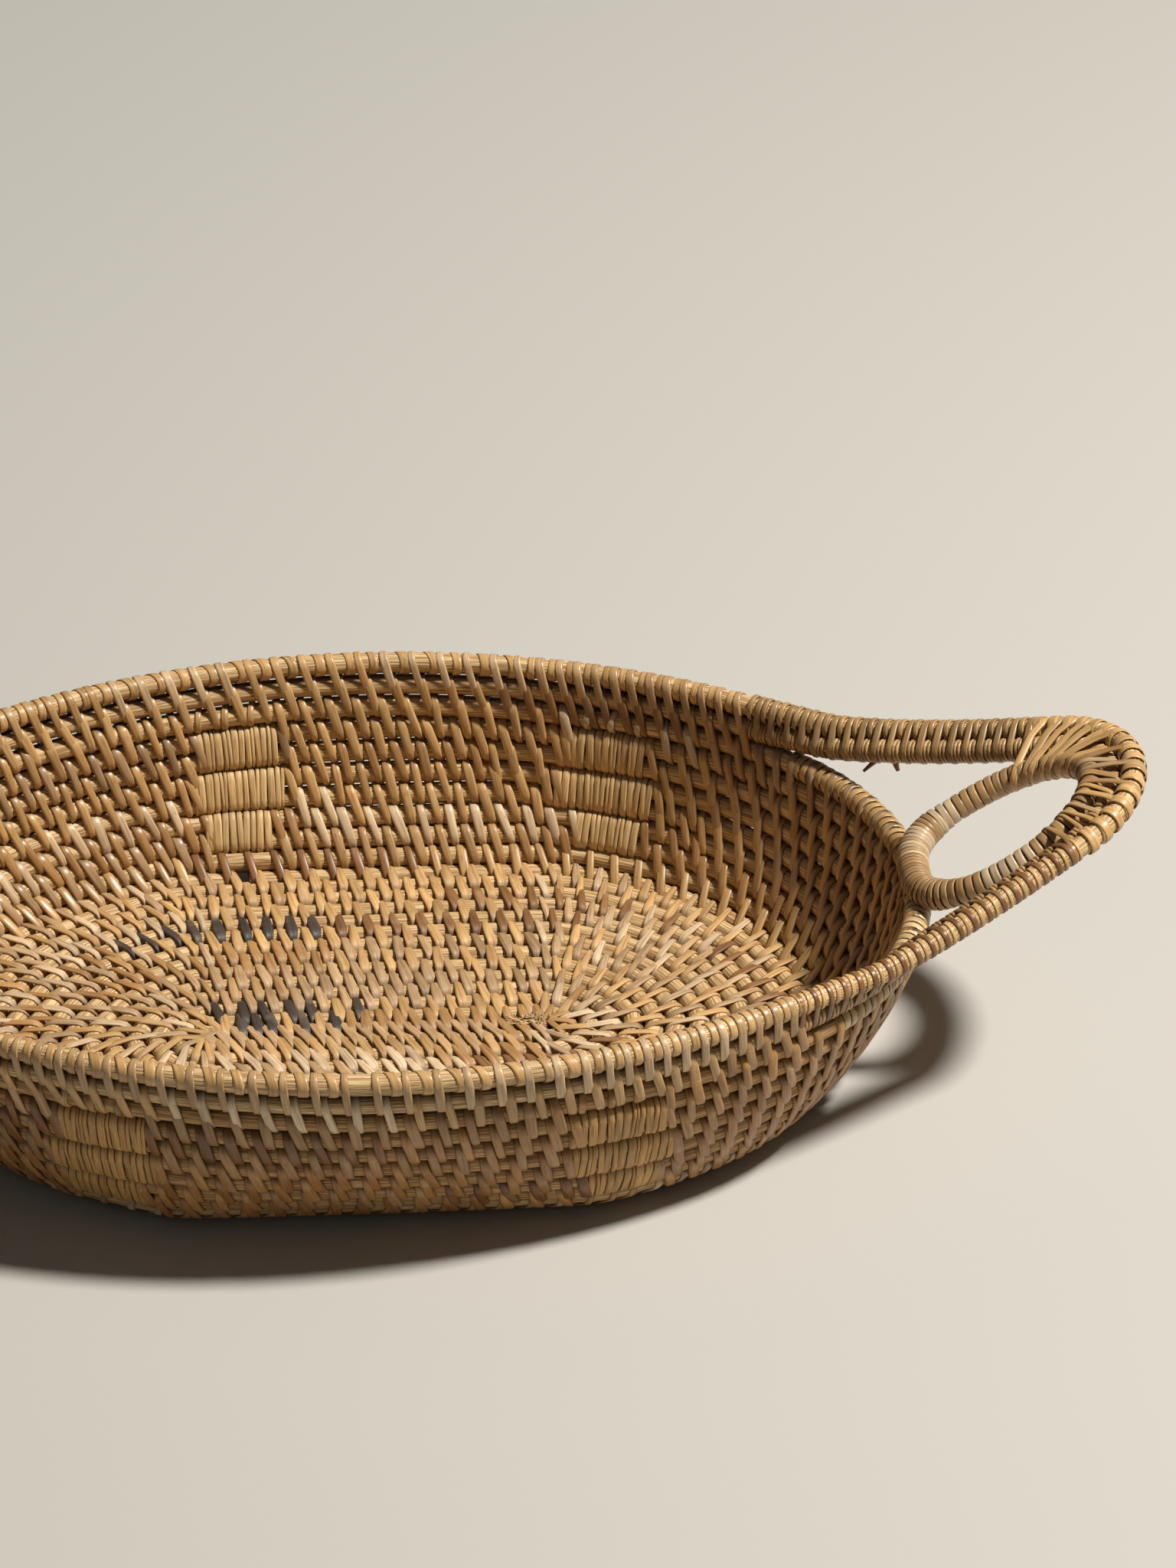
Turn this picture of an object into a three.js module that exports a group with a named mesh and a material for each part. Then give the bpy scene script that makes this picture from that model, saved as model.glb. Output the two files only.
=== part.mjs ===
// A flat oval basket of sewn rattan coil, with two looped handles.
// One core rod winds from a straight centre rod out to the edge of the base and on up the wall.
// Two rim rods leave the wall as a pair and turn round the tip of each handle.
// A wound ring fills each handle, laced to the pair at its tip and to the end wall.
// Millimetres, +Z up, X along the basket, origin on the table under its middle.

import * as THREE from 'three';

// Core rod and its spacing
const ROD_D = 5.5;
const BASE_PITCH = 6.4;
const WALL_PITCH = 6.9;
const BASE_ROUNDS = 13;
const WALL_ROUNDS = 8;

// Plan and section of the basket
const CENTRE_ROD_HALF = 49;
const SIDE_CENTRE = 118.4;
const END_HALF = 51;
const WALL_FLARE = 21.5;
const FOOT_LEAN = 50;
const STAND_CUT = 0.1;

// Handles
const HANDLE_REACH = 61.5;
const TIP_RADIUS = 36;
const HANDLE_RISE = 26.5;
const RISE_BEHIND_END = 20;
const RISE_POWER = 1.3;
const PAIR_INWARD = 5.44;
const PAIR_DOWN = 3.52;
const PAIR_SET_PAST_END = 5;

// Wound rings inside the handles
const RING_D = 6.4;
const RING_CLEAR = 0.3;
const RING_TIP_DROP = 4.8;
const RING_LEAN = 12;
const RING_HALF_WIDTH = 22;
const RING_TIP_HALF = 28;
const RING_FULLNESS = 2.6;
const RING_SLOPE_POWER = 1.1;

// Lacing strips
const LACE_WIDTH = 2;
const TIP_LACE_THICK = 0.8;
const TIP_LACE_CLEAR = 0.45;
const TIP_LACE_LOOPS = 14;
const TIP_LACE_REACH = 62;
const SEAT_LACE_THICK = 0.5;
const SEAT_LACE_CLEAR = 0.25;
const SEAT_LACE_LOOPS = 5;
const SEAT_LACE_HALF = 7;

// Close-wound panels on the long walls, each of three blocks over two rods
const PANEL_PLACES = [
  { name: 'back_left', x: -38, side: 90 },
  { name: 'back_right', x: 77, side: 90 },
  { name: 'front_left', x: -80, side: 270 },
  { name: 'front_right', x: 64, side: 270 },
];
const PANEL_BLOCKS = [
  { name: 'top', lowerRound: 6, width: 23 },
  { name: 'middle', lowerRound: 4, width: 27.5 },
  { name: 'bottom', lowerRound: 2, width: 18.6 },
];
const PANEL_STRIP = 2.6;
const PANEL_CLEAR = 0.2;
const PANEL_THICK = 0.3;
const PANEL_RIB = 0.35;

// Shape of the rounds
const ROW_WINDOW = 6.5;
const CORNER_SQUEEZE = 0.045;
const CORNER_POWER = 6;
const CLIMB_FROM = 190;
const CLIMB_TO = 228;
const LAST_TURN_LAP = 5;
const FOOT_LEAD = 0.14;
const SPLICE_GAP = 0.5;
const CAP_STEPS = 11;
const ROD_SIDES = 6;

const ROD_R = ROD_D / 2;
const RING_R = RING_D / 2;
const BASE_Z = ROD_R - STAND_CUT * ROD_D;
const FOOT_PITCH = (BASE_PITCH + WALL_PITCH) / 2;
const LEFT_SHIFT = BASE_PITCH / 4;
const deg = (angle) => (angle * Math.PI) / 180;
const sinD = (angle) => Math.sin(deg(angle));
const cosD = (angle) => Math.cos(deg(angle));
const smooth = (t) => {
  const u = Math.min(Math.max(t, 0), 1);
  return u * u * (3 - 2 * u);
};
const mix = (a, b, t) => a + (b - a) * t;

// Materials, one for each kind of cane
const material = (color, roughness) => new THREE.MeshStandardMaterial({ color, roughness, metalness: 0 });

// Radius and height of a round: whole numbers up to BASE_ROUNDS lie in the base, the rest climb the wall
const FOOT_RADIUS = BASE_ROUNDS * BASE_PITCH + FOOT_PITCH * sinD(FOOT_LEAN);
const FOOT_Z = BASE_Z + FOOT_PITCH * cosD(FOOT_LEAN);
function profile(round) {
  const up = round - BASE_ROUNDS;
  if (up <= 0) {
    return { radius: round * BASE_PITCH, z: BASE_Z, tilt: 0 };
  }
  if (up < 1) {
    const lead = up + FOOT_LEAD * up * (1 - up);
    return {
      radius: mix(BASE_ROUNDS * BASE_PITCH, FOOT_RADIUS, lead),
      z: mix(BASE_Z, FOOT_Z, lead),
      tilt: WALL_FLARE * smooth(up),
    };
  }
  return {
    radius: FOOT_RADIUS + (up - 1) * WALL_PITCH * sinD(WALL_FLARE),
    z: FOOT_Z + (up - 1) * WALL_PITCH * cosD(WALL_FLARE),
    tilt: WALL_FLARE,
  };
}

// The long sides are arcs about (0, -SIDE_CENTRE), the ends arcs that meet them in a smooth line
const TOP = profile(BASE_ROUNDS + WALL_ROUNDS);
const END_DROP = SIDE_CENTRE - END_HALF;
const END_CENTRE = (SIDE_CENTRE ** 2 - END_DROP ** 2) / (2 * END_DROP);
const SIDE_ANGLE = (Math.atan2(END_CENTRE, SIDE_CENTRE) * 180) / Math.PI;
const END_ROD_X = END_HALF + TOP.radius + LEFT_SHIFT;

// Share of the way along a straight row: 1 at its right end, -1 at its left end
function rowPlace(angle) {
  const turn = ((angle % 360) + 360) % 360;
  const away = Math.min(Math.abs(turn - 90), Math.abs(turn - 270));
  const t = Math.min(away / ROW_WINDOW, 1);
  return Math.sign(cosD(turn)) * t * (1.5 - 0.5 * t * t);
}

// Plan of one round about the centre rod, by the direction in which it faces
function coilPlan(angle, radius) {
  const twice = Math.abs(cosD(2 * angle));
  const squeeze = 1 - CORNER_SQUEEZE * (1 - twice ** CORNER_POWER);
  return {
    x: CENTRE_ROD_HALF * rowPlace(angle) + radius * squeeze * cosD(angle),
    y: radius * squeeze * sinD(angle),
  };
}

// Plan of one round as an oval of four arcs
function ovalPlan(angle, radius) {
  const c = cosD(angle);
  const s = sinD(angle);
  if (Math.abs(c) < sinD(SIDE_ANGLE)) {
    return { x: (SIDE_CENTRE + radius) * c, y: (SIDE_CENTRE + radius) * s - Math.sign(s) * SIDE_CENTRE };
  }
  const endRadius = END_HALF + radius - END_CENTRE;
  return { x: Math.sign(c) * END_CENTRE + endRadius * c, y: endRadius * s };
}

// The core rod by its running angle, which starts at 90 on the centre rod
function coilAt(angle) {
  const turns = (angle - 90) / 360;
  const full = Math.floor(turns + 1e-9);
  const part = turns - full;
  const inTurn = 90 + part * 360;
  const isTop = full >= BASE_ROUNDS + WALL_ROUNDS;
  const climb = isTop ? 0 : smooth((inTurn - CLIMB_FROM) / (CLIMB_TO - CLIMB_FROM));
  const round = part < 0.5 ? full + climb : full + 1;
  const { radius, z, tilt } = profile(round);
  const left = (1 - rowPlace(angle)) / 2;
  const climbed = part < 0.5 ? climb : 1 - smooth((inTurn - 360) / 90);
  const wide = radius + (0.5 - climbed) * BASE_PITCH * left;
  const inner = coilPlan(angle, wide);
  const outer = ovalPlan(angle, wide);
  const share = Math.max((round - BASE_ROUNDS - 1) / (WALL_ROUNDS - 1), 0);
  return {
    centre: new THREE.Vector3(
      mix(inner.x, outer.x, share) + LEFT_SHIFT,
      mix(inner.y, outer.y, share) - 0.5 * BASE_PITCH * left,
      z,
    ),
    tilt,
    angle,
  };
}

const BASE_END = 90 + 360 * BASE_ROUNDS;
const WALL_EXTRA = [0.5, 1.9];

// Stations of the core rod between two running angles, at the same directions in every round.
// The wall's bends are closer to its rows and have more of them.
function coilStations(from, to) {
  const angles = [from, to];
  for (let row = 90; row < to; row += 180) {
    angles.push(row, row + ROW_WINDOW);
    if (row >= BASE_END) {
      WALL_EXTRA.forEach((share) => angles.push(row + share * ROW_WINDOW, row + 180 - share * ROW_WINDOW));
    }
    for (let i = 1; i <= CAP_STEPS; i += 1) {
      angles.push(mix(row + ROW_WINDOW, row + 180 - ROW_WINDOW, i / CAP_STEPS));
    }
  }
  const sorted = angles.filter((a) => a >= from && a <= to).sort((a, b) => a - b);
  const kept = sorted.filter((a, i) => i === 0 || a - sorted[i - 1] > 0.05);
  const stations = framed(kept.map(coilAt), false);
  const endOn = (a) => framed([a - 1, a, a + 1].map(coilAt), false)[1];
  return [endOn(from), ...stations.slice(1, -1), endOn(to)];
}

// Adds to each station its outward and upward directions, square to the rod
function framed(stations, closed) {
  const count = stations.length;
  return stations.map((station, i) => {
    const before = stations[closed ? (i + count - 1) % count : Math.max(i - 1, 0)].centre;
    const after = stations[closed ? (i + 1) % count : Math.min(i + 1, count - 1)].centre;
    const along = after.clone().sub(before).normalize();
    const flat = new THREE.Vector3(along.y, -along.x, 0).normalize();
    const rise = new THREE.Vector3().crossVectors(flat, along).normalize();
    if (rise.z < 0) {
      rise.negate();
    }
    const c = cosD(station.tilt);
    const s = sinD(station.tilt);
    const out = flat.clone().multiplyScalar(c).addScaledVector(rise, -s);
    const up = rise.clone().multiplyScalar(c).addScaledVector(flat, s);
    return { ...station, out, up };
  });
}

// A closed solid through rings of points, each ring in the same order
function skin(rings, closed) {
  const sides = rings[0].length;
  const positions = rings.flat().flatMap((p) => [p.x, p.y, p.z]);
  const index = [];
  const last = closed ? rings.length : rings.length - 1;
  for (let i = 0; i < last; i += 1) {
    const a = i * sides;
    const b = ((i + 1) % rings.length) * sides;
    for (let j = 0; j < sides; j += 1) {
      const k = (j + 1) % sides;
      index.push(a + j, b + j, b + k, a + j, b + k, a + k);
    }
  }
  if (!closed) {
    const end = (rings.length - 1) * sides;
    for (let j = 1; j < sides - 1; j += 1) {
      index.push(0, j, j + 1);
      index.push(end, end + j + 1, end + j);
    }
  }
  return faceOut(positions, index);
}

// Turns the faces round where they look inward
function faceOut(positions, index) {
  let volume = 0;
  const corner = (i) => new THREE.Vector3(positions[3 * i], positions[3 * i + 1], positions[3 * i + 2]);
  for (let i = 0; i < index.length; i += 3) {
    volume += corner(index[i]).dot(corner(index[i + 1]).cross(corner(index[i + 2])));
  }
  if (volume < 0) {
    index.reverse();
  }
  const geometry = new THREE.BufferGeometry();
  geometry.setAttribute('position', new THREE.Float32BufferAttribute(positions, 3));
  geometry.setIndex(index);
  geometry.computeVertexNormals();
  return geometry;
}

// A point beside a station, a across and b up
const beside = (station, a, b) => station.centre.clone().addScaledVector(station.out, a).addScaledVector(station.up, b);

// A round rod through framed stations, flat where it would pass below the table
function rod(stations, radius, sides, closed) {
  const rings = stations.map((station) => {
    const ring = [];
    for (let j = 0; j < sides; j += 1) {
      const turn = (360 * j) / sides;
      const p = beside(station, radius * cosD(turn), radius * sinD(turn));
      p.z = Math.max(p.z, 0);
      ring.push(p);
    }
    return ring;
  });
  return skin(rings, closed);
}

// The base rod has a flat underside and rounded flanks
function baseRod(stations) {
  const low = -(ROD_R - STAND_CUT * ROD_D);
  const halfFlat = Math.sqrt(ROD_R * ROD_R - low * low);
  const start = Math.atan2(low, halfFlat);
  const sweep = Math.PI - 2 * start;
  const section = [];
  for (let j = 0; j < ROD_SIDES; j += 1) {
    const turn = start + (sweep * j) / (ROD_SIDES - 1);
    section.push([ROD_R * Math.cos(turn), ROD_R * Math.sin(turn)]);
  }
  return skin(stations.map((station) => section.map(([a, b]) => beside(station, a, b))), false);
}

// Least gap of a round rod to itself, measured between points that lie a few diameters apart along it
function leastSelfGap(points, thickness) {
  const apart = 3 * thickness;
  const run = [0];
  for (let i = 1; i < points.length; i += 1) {
    run.push(run[i - 1] + points[i].distanceTo(points[i - 1]));
  }
  let least = Infinity;
  const segment = new THREE.Line3();
  const near = new THREE.Vector3();
  for (let i = 0; i < points.length; i += 1) {
    for (let j = 0; j < points.length - 1; j += 1) {
      if (Math.abs(run[i] - run[j]) < apart || Math.abs(run[i] - run[j + 1]) < apart) {
        continue;
      }
      segment.set(points[j], points[j + 1]);
      segment.closestPointToPoint(points[i], true, near);
      least = Math.min(least, near.distanceTo(points[i]));
    }
  }
  return least - thickness;
}

// Base and wall coils, spliced end to end at the back left
const WALL_END = BASE_END + 360 * WALL_ROUNDS + (CLIMB_FROM - 90) + LAST_TURN_LAP;
const spliceAngle = (SPLICE_GAP / ((BASE_ROUNDS + 0.5) * BASE_PITCH)) * (180 / Math.PI);
const spliceAt = BASE_END + ROW_WINDOW;
const baseStations = coilStations(90 - ROW_WINDOW, spliceAt);
const wallStations = coilStations(spliceAt + spliceAngle, WALL_END);

// Rim rods: side arc, straight arm that touches both arcs, and tip arc, in one quarter and then all round
const RIM_UPPER = profile(BASE_ROUNDS + WALL_ROUNDS + 2);
const RIM_LOWER = profile(BASE_ROUNDS + WALL_ROUNDS + 1);
const SIDE_RADIUS = SIDE_CENTRE + RIM_UPPER.radius;
const HANDLE_TIP = END_ROD_X + HANDLE_REACH;
const TIP_CENTRE = HANDLE_TIP - TIP_RADIUS;
const CENTRES_APART = Math.hypot(TIP_CENTRE, SIDE_CENTRE);
const LEAVE_ANGLE = ((Math.atan2(TIP_CENTRE, SIDE_CENTRE)
  - Math.acos((SIDE_RADIUS - TIP_RADIUS) / CENTRES_APART)) * 180) / Math.PI;
const SIDE_STEPS = 5;
const ARM_STEPS = 4;
const TIP_STEPS = 5;
const handleRise = (x) => {
  const start = END_ROD_X - RISE_BEHIND_END;
  const along = (Math.abs(x) - start) / (HANDLE_TIP - start);
  return HANDLE_RISE * Math.max(along, 0) ** RISE_POWER;
};

function rimQuarter() {
  const facing = 90 - LEAVE_ANGLE;
  const leave = { x: SIDE_RADIUS * cosD(facing), y: SIDE_RADIUS * sinD(facing) - SIDE_CENTRE };
  const meet = { x: TIP_CENTRE + TIP_RADIUS * cosD(facing), y: TIP_RADIUS * sinD(facing) };
  const places = [];
  for (let i = 0; i < SIDE_STEPS; i += 1) {
    const angle = mix(90, facing, i / SIDE_STEPS);
    places.push({ x: SIDE_RADIUS * cosD(angle), y: SIDE_RADIUS * sinD(angle) - SIDE_CENTRE, angle });
  }
  for (let i = 0; i < ARM_STEPS; i += 1) {
    const t = i / ARM_STEPS;
    places.push({ x: mix(leave.x, meet.x, t), y: mix(leave.y, meet.y, t), angle: facing });
  }
  for (let i = 0; i <= TIP_STEPS; i += 1) {
    const angle = mix(facing, 0, i / TIP_STEPS);
    places.push({ x: TIP_CENTRE + TIP_RADIUS * cosD(angle), y: TIP_RADIUS * sinD(angle), angle });
  }
  return places;
}

// The lower rim rod moves from under the upper one to beside it as the pair leaves the wall
function pairOffset(x) {
  const leaveX = SIDE_RADIUS * sinD(LEAVE_ANGLE);
  const t = smooth((Math.abs(x) - leaveX) / (END_ROD_X + PAIR_SET_PAST_END - leaveX));
  return {
    inward: mix(RIM_UPPER.radius - RIM_LOWER.radius, PAIR_INWARD, t),
    down: mix(RIM_UPPER.z - RIM_LOWER.z, PAIR_DOWN, t),
  };
}

function rimLoop(isLower) {
  const quarter = rimQuarter();
  const upHalf = quarter.slice(0, -1).concat(
    quarter.slice().reverse().map((p) => ({ x: p.x, y: -p.y, angle: -p.angle })),
  );
  const around = upHalf.concat(
    upHalf.slice(1, -1).reverse().map((p) => ({ x: -p.x, y: p.y, angle: 180 - p.angle })),
  );
  const stations = around.map((p) => {
    const offset = isLower ? pairOffset(p.x) : { inward: 0, down: 0 };
    return {
      centre: new THREE.Vector3(
        p.x - offset.inward * cosD(p.angle),
        p.y - offset.inward * sinD(p.angle),
        RIM_UPPER.z + handleRise(p.x) - offset.down,
      ),
      tilt: WALL_FLARE,
    };
  });
  return framed(stations, true);
}

// The wound ring: an oval close inside the handle's tip, full and blunt towards the end wall
const RING_INWARD = PAIR_INWARD
  + Math.sqrt((ROD_R + RING_R + RING_CLEAR) ** 2 - (RING_TIP_DROP - PAIR_DOWN) ** 2);
const RING_TIP_X = HANDLE_TIP - RING_INWARD;
const RING_CENTRE = RING_TIP_X - RING_TIP_HALF;
const RING_SEAT = ROD_R + RING_R + RING_CLEAR;
const RING_INNER_X = END_ROD_X + RING_SEAT * sinD(RING_LEAN);
const RING_INNER_Z = TOP.z + RING_SEAT * cosD(RING_LEAN);
const RING_TIP_Z = RIM_UPPER.z + HANDLE_RISE - RING_TIP_DROP;
const RING_STEPS = 32;
const ringZ = (x) => {
  const t = Math.max((x - RING_INNER_X) / (RING_TIP_X - RING_INNER_X), 0);
  return mix(RING_INNER_Z, RING_TIP_Z, t ** RING_SLOPE_POWER);
};
function ringPlan(angle) {
  const c = cosD(angle);
  const s = sinD(angle);
  if (c >= 0) {
    return { x: RING_CENTRE + RING_TIP_HALF * c, y: RING_HALF_WIDTH * s };
  }
  const power = 2 / RING_FULLNESS;
  return {
    x: RING_CENTRE - (RING_CENTRE - RING_INNER_X) * Math.abs(c) ** power,
    y: RING_HALF_WIDTH * Math.sign(s) * Math.abs(s) ** power,
  };
}

// Distance of the ring from the middle of the tip arc, in a direction towards the tip
function ringReach(angle) {
  const offset = TIP_CENTRE - RING_CENTRE;
  const a = (cosD(angle) / RING_TIP_HALF) ** 2 + (sinD(angle) / RING_HALF_WIDTH) ** 2;
  const b = (offset * cosD(angle)) / RING_TIP_HALF ** 2;
  const c = (offset / RING_TIP_HALF) ** 2 - 1;
  return (Math.sqrt(b * b - a * c) - b) / a;
}
function ringStations(side) {
  const stations = [];
  for (let i = 0; i < RING_STEPS; i += 1) {
    const { x, y } = ringPlan((360 * i) / RING_STEPS);
    stations.push({ centre: new THREE.Vector3(side * x, y, ringZ(x)), tilt: 0 });
  }
  return framed(stations, true);
}

// A lacing strip wound round rods that run side by side. Each plane gives its outward direction,
// and the point, radius and running direction of each rod.
const LACE_SIDES = 12;
function lacing(planeAt, loops, thickness, clearance) {
  const rings = [];
  const middle = [];
  const count = loops * LACE_SIDES;
  for (let i = 0; i <= count; i += 1) {
    const plane = planeAt(i / count);
    const turn = (360 * i) / LACE_SIDES;
    const a = cosD(turn);
    const b = sinD(turn);
    const extent = (r) => r.point.dot(plane.across) * a + r.point.z * b + r.radius;
    const widest = plane.rods.reduce((best, r) => (extent(r) > extent(best) ? r : best));
    const along = widest.along.clone().normalize();
    const up = new THREE.Vector3().crossVectors(along, plane.across).normalize();
    up.multiplyScalar(Math.sign(up.z));
    const reach = widest.radius + clearance;
    const at = (depth) => widest.point.clone()
      .addScaledVector(plane.across, (reach + depth) * a)
      .addScaledVector(up, (reach + depth) * b);
    const half = along.multiplyScalar(LACE_WIDTH / 2);
    rings.push([
      at(0).sub(half), at(thickness).sub(half), at(thickness).add(half), at(0).add(half),
    ]);
    middle.push(at(thickness / 2));
  }
  return { geometry: skin(rings, false), middle };
}

function tipLacing(side) {
  const polar = (reach, angle) => new THREE.Vector3(
    side * (TIP_CENTRE + reach * cosD(angle)),
    reach * sinD(angle),
    0,
  );
  const rimPoint = (inward, down) => (angle) => {
    const point = polar(TIP_RADIUS - inward, angle);
    point.z = RIM_UPPER.z + handleRise(TIP_CENTRE + TIP_RADIUS * cosD(angle)) - down;
    return point;
  };
  const ringPoint = (angle) => {
    const point = polar(ringReach(angle), angle);
    point.z = ringZ(side * point.x);
    return point;
  };
  const planeAt = (t) => {
    const angle = mix(-TIP_LACE_REACH, TIP_LACE_REACH, t);
    const rodAt = (pointAt, radius) => ({
      point: pointAt(angle),
      radius,
      along: pointAt(angle + 1).sub(pointAt(angle - 1)),
    });
    return {
      across: new THREE.Vector3(side * cosD(angle), sinD(angle), 0),
      rods: [
        rodAt(rimPoint(0, 0), ROD_R),
        rodAt(rimPoint(PAIR_INWARD, PAIR_DOWN), ROD_R),
        rodAt(ringPoint, RING_R),
      ],
    };
  };
  return lacing(planeAt, TIP_LACE_LOOPS, TIP_LACE_THICK, TIP_LACE_CLEAR);
}

// Where a rod crosses a plane square to Y, nearest to the wanted X
function crossing(stations, y, nearX) {
  let best = null;
  stations.forEach((station, i) => {
    const a = station.centre;
    const b = stations[(i + 1) % stations.length].centre;
    if ((a.y - y) * (b.y - y) > 0 || a.y === b.y) {
      return;
    }
    const point = a.clone().lerp(b, (y - a.y) / (b.y - a.y));
    if (!best || Math.abs(point.x - nearX) < Math.abs(best.point.x - nearX)) {
      best = { point, along: b.clone().sub(a).multiplyScalar(Math.sign(b.y - a.y)) };
    }
  });
  return best;
}

// The ring's inner end is laced down to the top rod of the end wall
function seatLacing(side) {
  const ring = ringStations(side);
  const planeAt = (t) => {
    const y = mix(-SEAT_LACE_HALF, SEAT_LACE_HALF, t);
    const end = crossing(wallStations, y, side * END_ROD_X);
    const inner = crossing(ring, y, side * RING_INNER_X);
    return {
      across: new THREE.Vector3(side, 0, 0),
      rods: [
        { point: end.point, radius: ROD_R, along: end.along },
        { point: inner.point, radius: RING_R, along: inner.along },
      ],
    };
  };
  return lacing(planeAt, SEAT_LACE_LOOPS, SEAT_LACE_THICK, SEAT_LACE_CLEAR);
}

// Station of the wall coil at any running angle, straight between its neighbours as the rod is
function wallAt(angle) {
  const next = wallStations.findIndex((s) => s.angle >= angle);
  const b = wallStations[next];
  const a = wallStations[Math.max(next - 1, 0)];
  const t = (angle - a.angle) / Math.max(b.angle - a.angle, 1e-9);
  return {
    centre: a.centre.clone().lerp(b.centre, t),
    out: a.out.clone().lerp(b.out, t),
    up: a.up.clone().lerp(b.up, t),
  };
}

// Running angle at which a round of the wall passes a place along the basket
function angleAtX(x, round, side) {
  const middle = BASE_END - 90 + side + 360 * (round - 1) + (side > 180 ? 0 : 360);
  let low = middle - 60;
  let high = middle + 60;
  const rising = side > 180;
  for (let i = 0; i < 40; i += 1) {
    const guess = (low + high) / 2;
    if ((wallAt(guess).centre.x < x) === rising) {
      low = guess;
    } else {
      high = guess;
    }
  }
  return (low + high) / 2;
}

// One close-wound block: a ribbed sleeve with an open bore round two neighbouring rods
function panelBlock(place, block) {
  const ribs = Math.round(block.width / PANEL_STRIP);
  const rings = 2 * ribs + 1;
  const from = angleAtX(place.x - block.width / 2, block.lowerRound, place.side);
  const to = angleAtX(place.x + block.width / 2, block.lowerRound, place.side);
  const flat = ROD_R * cosD(180 / ROD_SIDES);
  const outline = (grow, side) => [
    [-ROD_R / 2 - side / 2, -flat - grow], [ROD_R / 2 + side / 2, -flat - grow],
    [ROD_R + side, 0], [ROD_R + side, WALL_PITCH],
    [ROD_R / 2 + side / 2, WALL_PITCH + flat + grow], [-ROD_R / 2 - side / 2, WALL_PITCH + flat + grow],
    [-ROD_R - side, WALL_PITCH], [-ROD_R - side, 0],
  ];
  const ringAt = (t, grow, side) => {
    const angle = mix(from, to, t);
    const lower = wallAt(angle);
    const upper = wallAt(angle + 360);
    return outline(grow, side).map(([a, b]) => {
      const share = Math.min(Math.max(b / WALL_PITCH, 0), 1);
      const station = {
        centre: lower.centre.clone().lerp(upper.centre, share),
        out: lower.out.clone().lerp(upper.out, share),
        up: lower.up.clone().lerp(upper.up, share),
      };
      return beside(station, a, b - share * WALL_PITCH);
    });
  };
  const outer = [];
  for (let i = 0; i < rings; i += 1) {
    const rib = i % 2 === 0 ? 0 : PANEL_RIB;
    outer.push(ringAt(i / (rings - 1), PANEL_CLEAR + PANEL_THICK, PANEL_CLEAR + PANEL_THICK + rib));
  }
  const bends = wallStations.map((s) => (s.angle - from) / (to - from)).filter((t) => t > 0.02 && t < 0.98);
  const places = [0, ...bends, 1].sort((a, b) => b - a);
  const bore = places.map((t) => ringAt(t, PANEL_CLEAR, PANEL_CLEAR));
  return skin(outer.concat(bore), true);
}

// The assembly
const basket = new THREE.Group();
basket.name = 'flat_rattan_basket';
const caneCore = material('#c9a25f', 0.6);
const caneRim = material('#d0a866', 0.55);
const caneRing = material('#a98558', 0.55);
const caneLace = material('#8f6a3c', 0.5);
const caneStraw = material('#d9bd85', 0.75);
function add(name, geometry, finish) {
  const mesh = new THREE.Mesh(geometry, finish.clone());
  mesh.name = name;
  basket.add(mesh);
}

add('base_coil', baseRod(baseStations), caneCore);
add('wall_coil', rod(wallStations, ROD_R, ROD_SIDES, false), caneCore);
add('rim_rod_upper', rod(rimLoop(false), ROD_R, ROD_SIDES, true), caneRim);
add('rim_rod_lower', rod(rimLoop(true), ROD_R, ROD_SIDES, true), caneRim);
const gaps = {
  base_coil: leastSelfGap(baseStations.map((s) => s.centre), ROD_D),
  wall_coil: leastSelfGap(wallStations.map((s) => s.centre), ROD_D),
};
[['right', 1], ['left', -1]].forEach(([name, side]) => {
  add(`handle_ring_${name}`, rod(ringStations(side), RING_R, ROD_SIDES, true), caneRing);
  const tip = tipLacing(side);
  add(`tip_lacing_${name}`, tip.geometry, caneLace);
  gaps[`tip_lacing_${name}`] = leastSelfGap(tip.middle, LACE_WIDTH);
  const seat = seatLacing(side);
  add(`seat_lacing_${name}`, seat.geometry, caneLace);
  gaps[`seat_lacing_${name}`] = leastSelfGap(seat.middle, LACE_WIDTH);
});
PANEL_PLACES.forEach((place) => {
  PANEL_BLOCKS.forEach((block) => {
    add(`panel_${place.name}_${block.name}`, panelBlock(place, block), caneStraw);
  });
});
Object.entries(gaps).forEach(([name, gap]) => {
  console.log(`${name}: least gap to itself ${gap.toFixed(2)} mm`);
});

export default basket;
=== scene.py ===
import math

import bpy
import numpy as np
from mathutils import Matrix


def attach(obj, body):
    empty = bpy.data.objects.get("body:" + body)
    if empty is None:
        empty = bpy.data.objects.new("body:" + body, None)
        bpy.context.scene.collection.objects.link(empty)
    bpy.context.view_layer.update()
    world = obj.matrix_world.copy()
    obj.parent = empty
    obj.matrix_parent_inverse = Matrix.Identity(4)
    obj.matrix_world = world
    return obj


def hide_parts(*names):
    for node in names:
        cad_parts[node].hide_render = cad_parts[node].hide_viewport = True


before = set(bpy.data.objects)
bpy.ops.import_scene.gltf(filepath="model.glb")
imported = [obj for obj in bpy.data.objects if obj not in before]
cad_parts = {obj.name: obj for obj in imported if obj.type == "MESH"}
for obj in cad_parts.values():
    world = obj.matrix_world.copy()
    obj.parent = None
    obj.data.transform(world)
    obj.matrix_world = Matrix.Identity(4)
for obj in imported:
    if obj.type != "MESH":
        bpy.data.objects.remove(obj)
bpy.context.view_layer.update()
rng = np.random.default_rng(11)

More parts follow.
